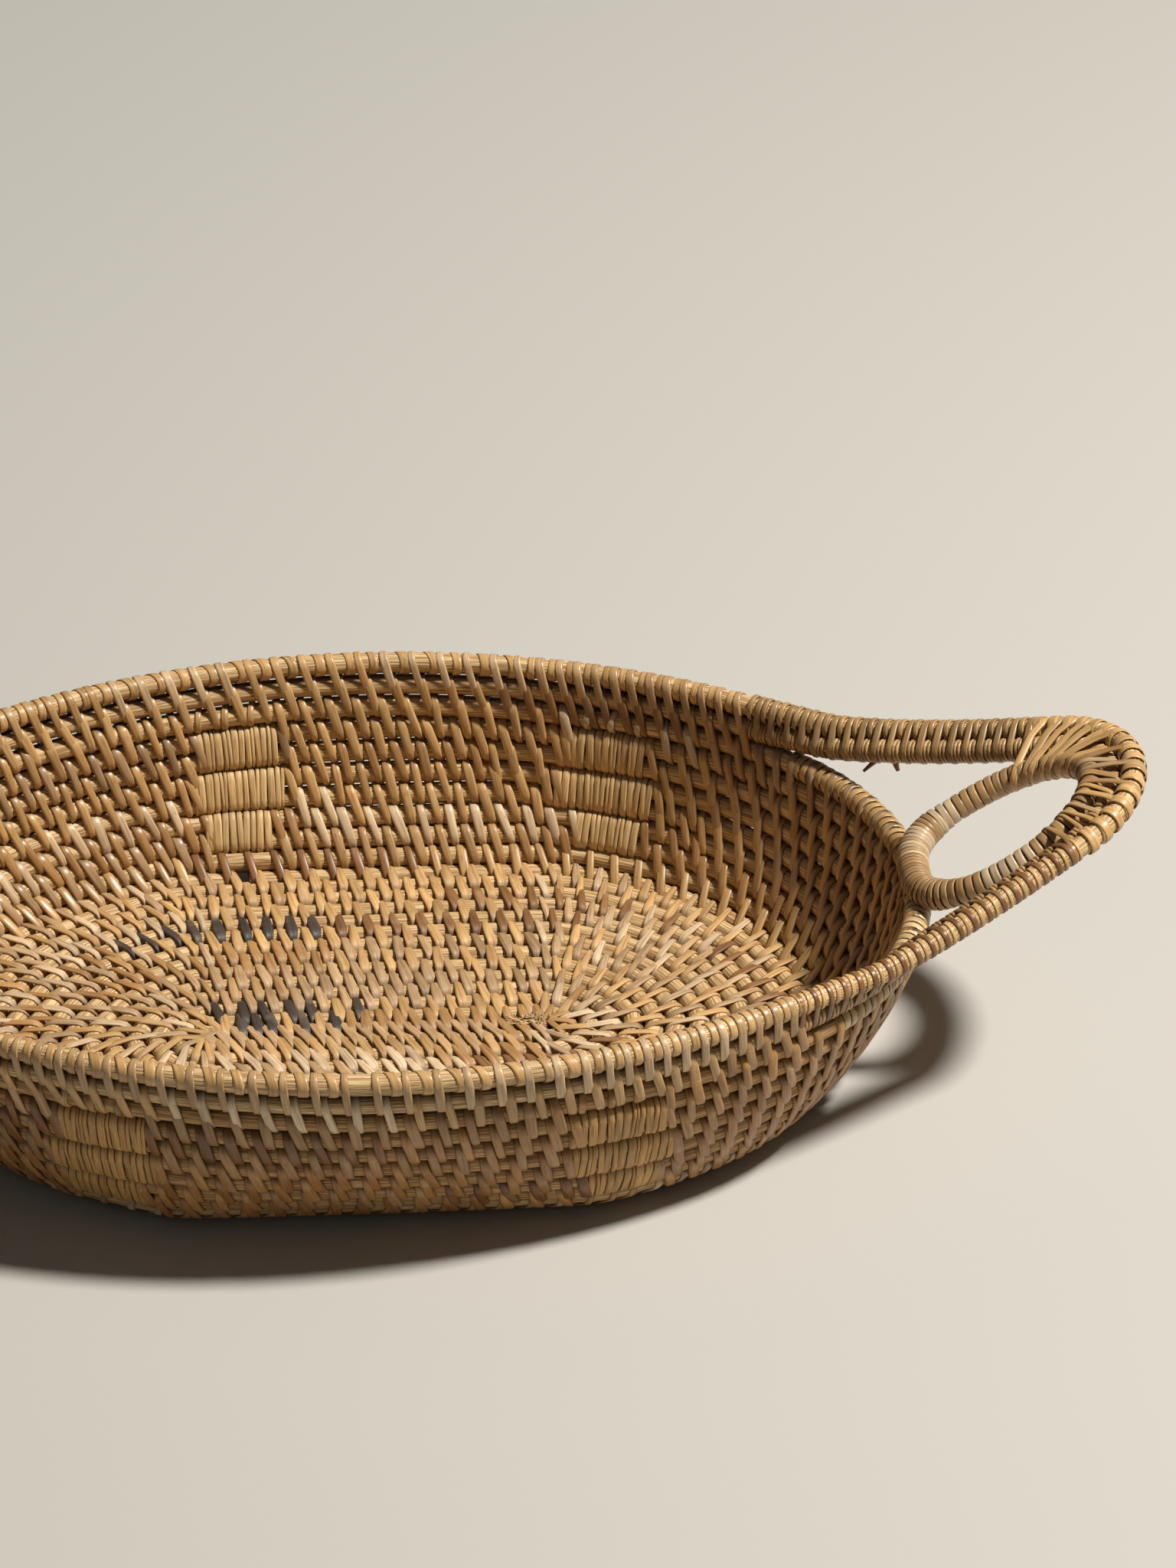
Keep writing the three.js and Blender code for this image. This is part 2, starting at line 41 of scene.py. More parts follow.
# Driving sizes in millimetres and degrees, as in the part's source. Only the wall's curve, its ends and
# its panels' places are nearer to the photograph.
CAD_ROD_R = 2.75
BASE_PITCH = 6.4
WALL_PITCH = 6.9
BASE_ROUNDS = 13
WALL_ROUNDS = 8
FOCUS = 49.0
SIDE_CENTRE = 118.4
END_HALF = 48.4
FOOT_FLARE, RIM_FLARE = math.radians(36.25), math.radians(7.25)
FLARE_STEP = (RIM_FLARE - FOOT_FLARE) / (WALL_ROUNDS + 1)
BASE_Z = 2.2
FOOT_LEAN = math.radians(50)
FOOT_PITCH = (BASE_PITCH + WALL_PITCH) / 2
FOOT_R = BASE_ROUNDS * BASE_PITCH + FOOT_PITCH * math.sin(FOOT_LEAN)
FOOT_Z = BASE_Z + FOOT_PITCH * math.cos(FOOT_LEAN)
FOOT_LEAD = 0.14
SHIFT = BASE_PITCH / 4
ROW_WINDOW = 6.5
CORNER_SQUEEZE = 0.045
CORNER_POWER = 6
CLIMB_FROM, CLIMB_TO = 190.0, 228.0
LAST_TURN_LAP = 5
END_DROP = SIDE_CENTRE - END_HALF
END_CENTRE = (SIDE_CENTRE**2 - END_DROP**2) / (2 * END_DROP)
SIDE_ANGLE = math.atan2(END_CENTRE, SIDE_CENTRE)
BASE_END = 90.0 + 360 * BASE_ROUNDS
WALL_END = BASE_END + 360 * WALL_ROUNDS + (CLIMB_FROM - 90) + LAST_TURN_LAP
COIL_START = 90 - ROW_WINDOW

# The rods as they look: fuller than the solids, and the floor lifted to stand on its stitches.
FLOOR_ROD_R, WALL_ROD_R, RIM_ROD_R = 3.05, 3.26, 3.08
ROD_CHANGE_ROUNDS = 3
SKIN = 0.05
STRIP_THICK = 0.65
STAND_CLEAR = 0.3
FLOOR_LIFT = FLOOR_ROD_R + SKIN + STRIP_THICK + STAND_CLEAR - BASE_Z
FLOOR_LIFT_ROUNDS = 4.0

# Stitches: spacing along the rod and width, then, as shares of the spacing, how far one falls back
# and between which gaps the next one is left out, set as it comes, set nearer or joined by another.
STITCH_PITCH = 7.5
FIRST_PITCH = 4.6
STITCH_WIDE = 2.8
FLOOR_SLANT, FLOOR_FRONT_SLANT = 0.17, 0.4
WALL_SLANT, FRONT_SLANT = 0.24, -0.2
NARROWEST_GAP, WIDEST_GAP, DOUBLE_GAP = 0.66, 1.07, 1.55

UP = np.array([0, 0, 1.0])


def smooth(t):
    t = np.clip(t, 0, 1)
    return t * t * (3 - 2 * t)


def mix(a, b, t):
    return a + (b - a) * t


def unit(v):
    return v / np.maximum(np.linalg.norm(v, axis=-1, keepdims=True), 1e-9)


def dot(a, b):
    return (a * b).sum(-1, keepdims=True)


def profile(u):
    m = u - BASE_ROUNDS
    lead = m + FOOT_LEAD * m * (1 - m)
    flare = FOOT_FLARE + (m - 1) * FLARE_STEP
    bend = WALL_PITCH / FLARE_STEP
    wall_r = FOOT_R + (math.cos(FOOT_FLARE) - np.cos(flare)) * bend
    wall_z = FOOT_Z + (np.sin(flare) - math.sin(FOOT_FLARE)) * bend
    r = np.where(m <= 0, u * BASE_PITCH, np.where(m < 1, mix(BASE_ROUNDS * BASE_PITCH, FOOT_R, lead), wall_r))
    z = np.where(m <= 0, BASE_Z, np.where(m < 1, mix(BASE_Z, FOOT_Z, lead), wall_z))
    return r, z


def row_place(a):
    t = np.mod(a, 360)
    away = np.minimum(abs(t - 90), abs(t - 270))
    k = np.minimum(away / ROW_WINDOW, 1)
    return np.sign(np.cos(np.radians(t))) * k * (1.5 - 0.5 * k * k)


def coil_at(a):
    """Centre of the core rod at running angles a, in degrees from the middle of the centre rod."""
    a = np.asarray(a, float)
    turns = (a - 90) / 360
    full = np.floor(turns + 1e-9)
    part = turns - full
    in_turn = 90 + part * 360
    top = full >= BASE_ROUNDS + WALL_ROUNDS
    climb = np.where(top, 0, smooth((in_turn - CLIMB_FROM) / (CLIMB_TO - CLIMB_FROM)))
    u = np.where(part < 0.5, full + climb, full + 1)
    r, z = profile(u)
    left = (1 - row_place(a)) / 2
    climbed = np.where(part < 0.5, climb, 1 - smooth((in_turn - 360) / 90))
    w = r + (0.5 - climbed) * BASE_PITCH * left
    c = np.cos(np.radians(a))
    s = np.sin(np.radians(a))
    squeeze = 1 - CORNER_SQUEEZE * (1 - abs(np.cos(np.radians(2 * a))) ** CORNER_POWER)
    inner_x = FOCUS * row_place(a) + w * squeeze * c
    inner_y = w * squeeze * s
    end_r = END_HALF + w - END_CENTRE
    side = abs(c) < math.sin(SIDE_ANGLE)
    outer_x = np.where(side, (SIDE_CENTRE + w) * c, np.sign(c) * END_CENTRE + end_r * c)
    outer_y = np.where(side, (SIDE_CENTRE + w) * s - np.sign(s) * SIDE_CENTRE, end_r * s)
    share = np.clip((u - BASE_ROUNDS - 1) / (WALL_ROUNDS - 1), 0, 1)
    x = mix(inner_x, outer_x, share) + SHIFT
    y = mix(inner_y, outer_y, share) - 0.5 * BASE_PITCH * left
    z = z + FLOOR_LIFT * (1 - smooth((u - BASE_ROUNDS) / FLOOR_LIFT_ROUNDS))
    return np.stack([x, y, z], -1)


class Line:
    """A line through points, read at a length along it in millimetres."""

    def __init__(self, points, closed=False):
        self.points = np.asarray(points, float)
        step = np.linalg.norm(np.diff(self.points, axis=0), axis=1)
        self.at = np.concatenate([[0], np.cumsum(step)])
        self.length = self.at[-1]
        self.closed = closed
        slope = np.gradient(self.points, self.at, axis=0)
        if closed:
            slope[0] = slope[-1] = unit(slope[0] + slope[-1])
        self.slope = unit(slope)

    def inside(self, s):
        return np.mod(s, self.length) if self.closed else np.clip(s, 0, self.length)

    def pos(self, s):
        s = self.inside(s)
        return np.stack([np.interp(s, self.at, self.points[:, k]) for k in range(3)], -1)

    def dir(self, s):
        s = self.inside(s)
        return unit(np.stack([np.interp(s, self.at, self.slope[:, k]) for k in range(3)], -1))


SEARCH_STEP = 0.5
COIL_SEARCH, RIM_SEARCH = 15, 25


def nearest(line, pts, guess, spread):
    """Lengths along a line nearest to pts, looked for within spread of each guess."""
    s = line.inside(guess[:, None] + np.arange(-spread, spread + SEARCH_STEP, SEARCH_STEP))
    gap = ((line.pos(s) - pts[:, None]) ** 2).sum(-1)
    s = s[np.arange(len(s)), gap.argmin(1)]
    for _ in range(3):
        s = line.inside(s + dot(pts - line.pos(s), line.dir(s))[:, 0])
    return s


# The coil as a line, with tables from running angle to length and back.
ANGLE_STEP = 0.25
COIL_ANGLES = np.arange(COIL_START, WALL_END + 0.01, ANGLE_STEP)
COIL = Line(coil_at(COIL_ANGLES))


def s_of(a):
    return np.interp(a, COIL_ANGLES, COIL.at)


def a_of(s):
    return np.interp(s, COIL.at, COIL_ANGLES)


# The length of the nearest rod inside, along the coil. The first round goes about the centre rod.
FIRST_FULL = 450 - ROW_WINDOW
FULL_ANGLES = np.arange(FIRST_FULL, WALL_END, 1.0)
FULL_S = s_of(FULL_ANGLES)
FULL_INNER = np.maximum.accumulate(nearest(COIL, COIL.pos(FULL_S), s_of(FULL_ANGLES - 360), COIL_SEARCH))
ROD_LEFT = float(s_of(90 + ROW_WINDOW))
OWN_S = np.concatenate([s_of(np.array([90 + ROW_WINDOW, 270 - ROW_WINDOW, 270 + ROW_WINDOW])), FULL_S])
INNER_S = np.concatenate([[ROD_LEFT, ROD_LEFT, 0], FULL_INNER])


def inner_of(s):
    """Length on the round inside, beside a length of the coil."""
    return np.interp(s, OWN_S, INNER_S)


def outer_of(s):
    """Length on the round outside, beside a length of the coil."""
    return np.interp(s, FULL_INNER, FULL_S)


def rod_radius(s):
    rounds = (a_of(s) - 90) / 360
    return mix(FLOOR_ROD_R, WALL_ROD_R, smooth((rounds - BASE_ROUNDS + 1) / ROD_CHANGE_ROUNDS))


# Radius and height of the wall's top round, then of the lower and the upper rim rod.
R_TOP, Z_TOP = [float(v) for v in profile(np.array(BASE_ROUNDS + WALL_ROUNDS + 0.0))]
R_LOWER, Z_LOWER = [float(v) for v in profile(np.array(BASE_ROUNDS + WALL_ROUNDS + 1.0))]
R_UPPER, Z_UPPER = [float(v) for v in profile(np.array(BASE_ROUNDS + WALL_ROUNDS + 2.0))]
END_X = END_HALF + R_TOP + SHIFT
HANDLE_REACH = 61.5
TIP = END_X + HANDLE_REACH
TIP_R = 36.0
TIP_C = TIP - TIP_R
HANDLE_RISE = 26.5
RISE_BEHIND_END = 20
RISE_START = END_X - RISE_BEHIND_END
RISE_POWER = 1.3
PAIR_IN, PAIR_DOWN = 5.44, 3.52
PAIR_SET_PAST_END = 5
PAIR_SET = END_X + PAIR_SET_PAST_END
SIDE_R = SIDE_CENTRE + R_UPPER
LEAVE = math.atan2(TIP_C, SIDE_CENTRE) - math.acos((SIDE_R - TIP_R) / math.hypot(TIP_C, SIDE_CENTRE))
LEAVE_X = SIDE_R * math.sin(LEAVE)


def rise(x):
    return HANDLE_RISE * np.maximum((abs(x) - RISE_START) / (TIP - RISE_START), 0) ** RISE_POWER


def rim_points(lower, n=60):
    """The closed line of a rim rod, counter-clockwise from the middle of the back."""
    f = math.pi / 2 - LEAVE
    q = []
    for i in range(n):
        a = mix(math.pi / 2, f, i / n)
        q.append((SIDE_R * math.cos(a), SIDE_R * math.sin(a) - SIDE_CENTRE, a))
    start = (SIDE_R * math.cos(f), SIDE_R * math.sin(f) - SIDE_CENTRE)
    stop = (TIP_C + TIP_R * math.cos(f), TIP_R * math.sin(f))
    for i in range(n):
        q.append((mix(start[0], stop[0], i / n), mix(start[1], stop[1], i / n), f))
    for i in range(n + 1):
        a = mix(f, 0, i / n)
        q.append((TIP_C + TIP_R * math.cos(a), TIP_R * math.sin(a), a))
    right = q[:-1] + [(x, -y, -a) for x, y, a in reversed(q)]
    loop = right + [(-x, y, math.pi - a) for x, y, a in reversed(right[1:-1])]
    x, y, a = np.array(loop + loop[:1]).T[:, ::-1]
    inward = down = 0 * x
    if lower:
        t = smooth((abs(x) - LEAVE_X) / (PAIR_SET - LEAVE_X))
        inward = mix(R_UPPER - R_LOWER, PAIR_IN, t)
        down = mix(Z_UPPER - Z_LOWER, PAIR_DOWN, t)
    z = Z_UPPER + rise(x) - down
    return np.stack([x - inward * np.cos(a), y - inward * np.sin(a), z], -1)


RIM_UP = Line(rim_points(False), closed=True)
RIM_LOW = Line(rim_points(True), closed=True)

RING_R = 3.2
RING_CLEAR = 0.3
RING_TIP_DROP = 4.8
RING_LEAN = math.radians(12)
RING_FULLNESS = 2.6
RING_SLOPE_POWER = 1.1
SEAT = CAD_ROD_R + RING_R + RING_CLEAR
RING_IN = PAIR_IN + math.sqrt(SEAT**2 - (RING_TIP_DROP - PAIR_DOWN) ** 2)
RING_TIP_X = TIP - RING_IN
RING_HALF_WIDTH = 22.0
RING_TIP_HALF = 28.0
RING_CENTRE_X = RING_TIP_X - RING_TIP_HALF
RING_SEAT_X = END_X + SEAT * math.sin(RING_LEAN)
RING_SEAT_Z = Z_TOP + SEAT * math.cos(RING_LEAN)
RING_TIP_Z = Z_UPPER + HANDLE_RISE - RING_TIP_DROP


def ring_points(n=240):
    """The closed line of the right handle's ring, from the handle's tip."""
    t = np.arange(n + 1) * 2 * math.pi / n
    c, s = np.cos(t), np.sin(t)
    power = 2 / RING_FULLNESS
    near = RING_CENTRE_X - (RING_CENTRE_X - RING_SEAT_X) * abs(c) ** power
    x = np.where(c >= 0, RING_CENTRE_X + RING_TIP_HALF * c, near)
    y = np.where(c >= 0, RING_HALF_WIDTH * s, RING_HALF_WIDTH * np.sign(s) * abs(s) ** power)
    k = np.maximum((x - RING_SEAT_X) / (RING_TIP_X - RING_SEAT_X), 0)
    return np.stack([x, y, mix(RING_SEAT_Z, RING_TIP_Z, k**RING_SLOPE_POWER)], -1)


SEAT_PULL = np.array([-2.2, 0, -0.9])
SEAT_PULL_OVER = 14


def settled(points):
    """The ring as it looks, its near end pulled down onto the end wall's rim."""
    pull = smooth((RING_SEAT_X + SEAT_PULL_OVER - points[:, :1]) / SEAT_PULL_OVER)
    return points + pull * SEAT_PULL


RING = Line(settled(ring_points()), closed=True)

# Painted shade deep in a joint, where rods and strips face a neighbour: how much darker they are painted, and
# how narrow that painted shade is on a rod and on a strip.
PAINTED_JOINT_SHADE = 0.9
ROD_JOINT_POWER, STRIP_JOINT_POWER = 12, 6

# A rod's thickness wavers along it, over two lengths.
WOBBLE = 0.015
WOBBLE_LENGTH, WOBBLE_DRIFT = 9.7, 31.0

# The grain starts at another place of its map on each strip.
LAY_SPREAD = 900
LAY_EDGE = 3
ROD_LAY_SKEW, STRIP_LAY_SKEW = 0.37, 1.7


class Parts:
    """Swept bodies gathered into one mesh, with a lay map along and across each strip and a tone."""

    def __init__(self):
        self.verts, self.quads, self.uvs, self.tones, self.caps = [], [], [], [], []
        self.count = 0

    def add(self, verts, quads, uvs, tones, caps=()):
        if signed_volume(verts, quads) < 0:
            quads, uvs, caps = flipped(quads, uvs, caps)
        self.verts.append(verts)
        self.quads.append(quads + self.count)
        self.uvs.append(uvs)
        self.tones.append(tones)
        self.caps += [np.asarray(c) + self.count for c in caps]
        self.count += len(verts)

    def object(self, name, material, replaces=(), mirror=False):
        verts = np.concatenate(self.verts) * 0.001
        quads = np.concatenate(self.quads)
        uvs = np.concatenate(self.uvs)
        tones = np.concatenate(self.tones)
        caps = self.caps
        if mirror:
            verts = verts * np.array([-1, 1, 1])
            quads, uvs, caps = flipped(quads, uvs, caps)
        loops = np.concatenate([quads.ravel()] + [np.asarray(c) for c in caps]).astype(np.int32)
        sizes = np.concatenate([np.full(len(quads), 4), [len(c) for c in caps]]).astype(np.int32)
        starts = np.concatenate([[0], np.cumsum(sizes)[:-1]]).astype(np.int32)
        me = bpy.data.meshes.new(name)
        me.vertices.add(len(verts))
        me.vertices.foreach_set("co", verts.astype(np.float32).ravel())
        me.loops.add(len(loops))
        me.loops.foreach_set("vertex_index", loops)
        me.polygons.add(len(sizes))
        me.polygons.foreach_set("loop_start", starts)
        rounded = np.concatenate([np.ones(len(quads)), np.zeros(len(caps))]).astype(bool)
        me.polygons.foreach_set("use_smooth", rounded)
        me.update(calc_edges=True)
        flat = np.zeros((len(loops), 2), np.float32)
        flat[: 4 * len(quads)] = uvs.reshape(-1, 2)
        me.uv_layers.new(name="lay").data.foreach_set("uv", flat.ravel())
        rgba = np.ones((len(verts), 4), np.float32)
        rgba[:, :3] = tones
        me.color_attributes.new("tone", "FLOAT_COLOR", "POINT").data.foreach_set("color", rgba.ravel())
        me.materials.append(material)
        me.validate()
        ob = bpy.data.objects.new(name, me)
        bpy.context.scene.collection.objects.link(ob)
        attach(ob, "root")
        if replaces:
            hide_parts(*replaces)

    def handles(self, name, material, node=None):
        """The right handle's piece, and its mirror image as the left one's."""
        for side in ("right", "left"):
            nodes = [f"{node}_{side}"] if node else ()
            self.object(f"{name}_{side}", material, nodes, mirror=side == "left")


def flipped(quads, uvs, caps):
    return quads[:, ::-1], uvs[:, ::-1], [c[::-1] for c in caps]


def signed_volume(v, q):
    a, b, c, d = (v[q[:, k]] for k in range(4))
    return float((np.cross(a, b) * c).sum() + (np.cross(a, c) * d).sum())


def tube(parts, points, radius, tone, sides=14, closed=False, lay=0.0, joint=None, above=1.0,
         narrow=ROD_JOINT_POWER):
    """A round rod along points, with painted shade on the side joint points away from, and by the share above
    opposite.
    """
    p = np.asarray(points, float)
    if closed:
        p = p[:-1] if np.allclose(p[0], p[-1]) else p
        t = unit(np.roll(p, -1, 0) - np.roll(p, 1, 0))
    else:
        t = unit(np.gradient(p, axis=0))
    side = unit(np.cross(t, UP))
    up = np.cross(side, t)
    n = len(p)
    turn = np.arange(sides) * 2 * math.pi / sides
    step = np.linalg.norm(np.diff(p, axis=0), axis=1)
    s = np.concatenate([[0], np.cumsum(step)])
    waver = 1 + WOBBLE * np.sin(s / WOBBLE_LENGTH + 3 * np.sin(s / WOBBLE_DRIFT))
    size = np.broadcast_to(np.asarray(radius) * waver, (n,))
    ring = np.cos(turn)[None, :, None] * up[:, None] + np.sin(turn)[None, :, None] * side[:, None]
    verts = p[:, None] + size[:, None, None] * ring
    rows = n if closed else n - 1
    i, j = np.divmod(np.arange(rows * sides), sides)
    i2, j2 = (i + 1) % n, (j + 1) % sides
    quads = np.stack([i * sides + j, i * sides + j2, i2 * sides + j2, i2 * sides + j], -1)
    s = np.concatenate([s, [s[-1] + step.mean()]])
    around = 2 * math.pi * float(size.mean()) / sides
    corners = [(s[i + e], (j + f) * around) for e, f in ((0, 0), (0, 1), (1, 1), (1, 0))]
    uvs = np.stack([np.stack(c, -1) for c in corners], 1) + np.array([lay, ROD_LAY_SKEW * lay])
    caps = [] if closed else [np.arange(sides)[::-1], np.arange(sides) + (n - 1) * sides]
    facing = dot(ring, np.zeros((n, 1, 3)) if joint is None else np.asarray(joint)[:n, None])
    shade = 1 - PAINTED_JOINT_SHADE * abs(facing) ** narrow * np.where(facing > 0, above, 1.0)
    tones = (tone * shade * np.ones((n, sides, 1))).reshape(-1, 3)
    parts.add(verts.reshape(-1, 3), quads, uvs, tones, caps)


# Cross-section of a split cane strip: half widths across, and share of the thickness up.
STRIP_ACROSS = np.array([-1.0, -0.87, -0.52, 0.52, 0.87, 1.0])
STRIP_UP = np.array([0.06, 0.7, 1.0, 1.0, 0.7, 0.06])


def loops(parts, p, out, half, thick, tones, tilt=0.0, dome=1.0):
    """Closed strips, one through each row of points p, their backs against what lies opposite to out."""
    n, k, _ = p.shape
    m = len(STRIP_ACROSS)
    t = unit(np.roll(p, -1, 1) - np.roll(p, 1, 1))
    across = unit(np.cross(t, out))
    up = np.cross(across, t)
    tilt = np.broadcast_to(tilt, (n, k))[..., None]
    across, up = across * np.cos(tilt) + up * np.sin(tilt), up * np.cos(tilt) - across * np.sin(tilt)
    half = np.broadcast_to(half, (n, k))
    flat = (STRIP_ACROSS * half[..., None])[..., None]
    high = (STRIP_UP**dome * np.broadcast_to(thick, (n, k))[..., None])[..., None]
    verts = p[:, :, None] + across[:, :, None] * flat + up[:, :, None] * high
    i, j = np.divmod(np.arange(k * m), m)
    i2, j2 = (i + 1) % k, (j + 1) % m
    one = np.stack([i * m + j, i * m + j2, i2 * m + j2, i2 * m + j], -1)
    step = np.linalg.norm(np.roll(p, -1, 1) - p, axis=-1)
    s = np.concatenate([np.zeros((n, 1)), np.cumsum(step, 1)], 1)
    v = STRIP_ACROSS * float(half.mean()) + LAY_EDGE
    lay = rng.uniform(0, LAY_SPREAD, (n, 1))
    corners = [(s[:, i + e], np.tile(v[f], (n, 1))) for e, f in ((0, j), (0, j2), (1, j2), (1, j))]
    uvs = np.stack([np.stack([a + lay, b + STRIP_LAY_SKEW * lay], -1) for a, b in corners], 2)
    quads = one[None] + (np.arange(n) * k * m)[:, None, None]
    tones = np.repeat(np.broadcast_to(tones, (n, k, 3)).reshape(-1, 3), m, axis=0)
    parts.add(verts.reshape(-1, 3), quads.reshape(-1, 4), uvs.reshape(-1, 4, 2), tones)


# Stations of a strip round two rods: turn from the inside face, and share of the way to the second rod.
PAIR_TURN = np.radians([180, 150, 120, 90, 60, 30, 0, 0, 0, -30, -60, -90, -120, -150, -180, 180])
PAIR_SIDE = np.array([0.0] * 7 + [0.5] + [1.0] * 7 + [0.5])
LOOP_TURN = np.arange(16) * math.pi / 8
LOOP_SIDE = np.zeros(16)
# By station, how far a strip stands off where it tapers, and how much wider or narrower it is there.
BULGE = np.array([0, 0, 0, 0.5, 1, 1, 0.4, 0, 0, 0, 0, 0, 0, 0, 0, 0])
TAPER = np.array([0.0, 0, 0, -1, -1, -0.9, -0.6, 0, 0.6, 0.9, 0.8, 0.2, 0, 0, 0, 0])
TAPER_SHARE = 0.26
EDGE_NARROW = 0.1
FALL_LIMIT = 0.8


def wraps(parts, top, way, low, wide, tones, radius, up=None, taper=0.0, twist=0.0, slant=0.0,
          thick=STRIP_THICK, bulge=0.3, dome=1.0, joint=PAINTED_JOINT_SHADE):
    """Strips round the rods at top and low, or, with up given in place of low, round the one at top."""
    n = len(top)
    pair = up is None
    turn, side = (PAIR_TURN, PAIR_SIDE) if pair else (LOOP_TURN, LOOP_SIDE)
    away = top - low if pair else np.broadcast_to(up, (n, 3))
    w = unit(away - way * dot(away, way))
    inside = unit(np.cross(w, way))
    out = np.cos(turn)[None, :, None] * inside[:, None] + np.sin(turn)[None, :, None] * w[:, None]
    centre = mix(top[:, None], (low if pair else top)[:, None], side[None, :, None])

    def column(v):
        return np.broadcast_to(v, (n,))[:, None]

    taper, twist, wide = column(taper), column(twist), column(wide)
    lower_end = BULGE[::-1] if pair else 0 * turn
    upper_end = BULGE if pair else 0 * turn
    swell = np.maximum(taper, 0) * np.roll(lower_end, -1) + np.maximum(-taper, 0) * upper_end
    reach = column(radius) + SKIN + column(bulge) * swell
    p = centre + out * reach[..., None]
    shift = column(slant) * np.cos(turn)
    if pair:
        fall = dot(top - low, way) / np.maximum(dot(away, w), 1.0)
        shift = shift + np.clip(fall, -FALL_LIMIT, FALL_LIMIT) * reach * np.sin(turn)
    p = p + way[:, None] * shift[..., None]
    narrow = TAPER if pair else 0 * turn
    size = wide / 2 * (1 + TAPER_SHARE * taper * narrow) * (1 - EDGE_NARROW * abs(np.sin(turn)))
    # Painted shade on a strip where it turns into the joint between two rods.
    shade = 1 - (joint * abs(np.sin(turn)) ** STRIP_JOINT_POWER if pair else 0 * turn)
    shaded = np.asarray(tones)[:, None] * shade[:, None]
    loops(parts, p, out, size, column(thick), shaded, twist * swell, dome)


def srgb(r, g, b):
    c = np.array([r, g, b]) / 255.0
    return np.where(c <= 0.04045, c / 12.92, ((c + 0.055) / 1.055) ** 2.4)


CORE_TONE = srgb(234, 203, 150)
GOLDEN = srgb(202, 163, 108)
ORANGE = srgb(182, 140, 88)
GREYISH = srgb(184, 152, 112)
PALE = srgb(224, 199, 163)
BROWN = srgb(144, 103, 61)
GLOSSY_BROWN = srgb(136, 94, 54)
DARK = srgb(70, 61, 54)
STRAW = srgb(224, 190, 134)
# Shares of a tone that are left on the wall, and on the front wall's rods, stitches and straw; the front ones
# are painted shade, as that wall lies in shade.
WALL_SHADE = np.array([0.92, 0.9, 0.87])
FRONT_ROD_PAINTED_SHADE = np.array([0.74, 0.63, 0.48])
FRONT_STITCH_PAINTED_SHADE = np.array([0.86, 0.74, 0.57])
FRONT_STRAW_PAINTED_SHADE = np.array([0.84, 0.72, 0.54])
CANE_TONES = np.array([GOLDEN, ORANGE, GREYISH, PALE, BROWN])
CANE_SHARES = np.array([0.5, 0.14, 0.19, 0.09, 0.08])


def cane_tones(n, run=(5, 22)):
    """Tones of n stitches in a row: one strip of cane lasts for some stitches, then the next begins."""
    out = np.empty((n, 3))
    i = 0
    while i < n:
        length = int(rng.integers(*run))
        out[i : i + length] = CANE_TONES[rng.choice(len(CANE_TONES), p=CANE_SHARES)] * rng.uniform(0.88, 1.12)
        i += length
    return np.clip(out * rng.uniform(0.84, 1.16, (n, 1)), 0, 0.9)


# How soon looks and slants change over: rounds from floor to wall, and from where to the front.
WALL_OVER_ROUNDS = 1.5
FRONT_FROM, FRONT_OVER = 0.3, 0.5


def slant_at(s):
    """Share of the stitch spacing by which a stitch falls back on its way to the round inside."""
    in_front = smooth(0.5 + 2 * frontness(s))
    floor = mix(FLOOR_SLANT, FLOOR_FRONT_SLANT, in_front)
    return mix(mix(floor, WALL_SLANT, on_wall(s)), FRONT_SLANT, front_wall(s))


def frontness(s):
    """1 where the coil faces the front, -1 where it faces the back."""
    return -np.sin(np.radians(a_of(s)))


def on_wall(s):
    """0 on the floor, 1 on the wall."""
    return smooth(((a_of(s) - 90) / 360 - BASE_ROUNDS) / WALL_OVER_ROUNDS)


def front_wall(s):
    """1 on the wall in front, 0 elsewhere."""
    return on_wall(s) * smooth((frontness(s) - FRONT_FROM) / FRONT_OVER)


FIRST_STITCH, FIRST_STITCHES_TO = 110, FIRST_FULL + 190
LAST_STITCH_IN = 3


def stitch_places():
    """Lengths along the coil of its stitches, each ending halfway between two of the round inside."""
    out = list(np.arange(float(s_of(FIRST_STITCH)), float(s_of(FIRST_STITCHES_TO)), FIRST_PITCH))
    i = 0
    while i + 1 < len(out):
        middle = (out[i] + out[i + 1]) / 2
        i += 1
        s = float(outer_of(middle))
        s = float(outer_of(middle + float(slant_at(s)) * STITCH_PITCH))
        if s > COIL.length - LAST_STITCH_IN:
            break
        gap = s - out[-1]
        if gap < NARROWEST_GAP * STITCH_PITCH:
            continue
        if gap > DOUBLE_GAP * STITCH_PITCH:
            out += [out[-1] + gap / 2, s]
        else:
            out.append(out[-1] + min(gap, WIDEST_GAP * STITCH_PITCH))
    return np.array(out)


# Straw panels: middle x and side angle of each place, then lower round and width of each block.
BACK, FRONT = 90, 270
PANEL_PLACES = {
    "back_left": (-37.5, BACK),
    "back_right": (75, BACK),
    "front_left": (-77, FRONT),
    "front_right": (66, FRONT),
}
PANEL_BLOCKS = {"top": (6, 23.0), "middle": (4, 27.5), "bottom": (2, 18.6)}
PANEL_SEARCH = 60
PANEL_MARGIN = 0.8


def panel_spans():
    """Each block as (name, first length, last length along the coil on its upper rod)."""
    out = []
    for place, (x, side) in PANEL_PLACES.items():
        for block, (lower_round, wide) in PANEL_BLOCKS.items():
            number = BASE_ROUNDS + lower_round + 1 - (1 if side == FRONT else 0)
            a = np.linspace(side - PANEL_SEARCH, side + PANEL_SEARCH, 2400) + 360 * number
            xs = coil_at(a)[:, 0]
            ends = [float(s_of(a[np.argmin(abs(xs - x - sign * wide / 2))])) for sign in (-1, 1)]
            out.append((f"{place}_{block}", min(ends), max(ends)))
    return out


PANELS = panel_spans()


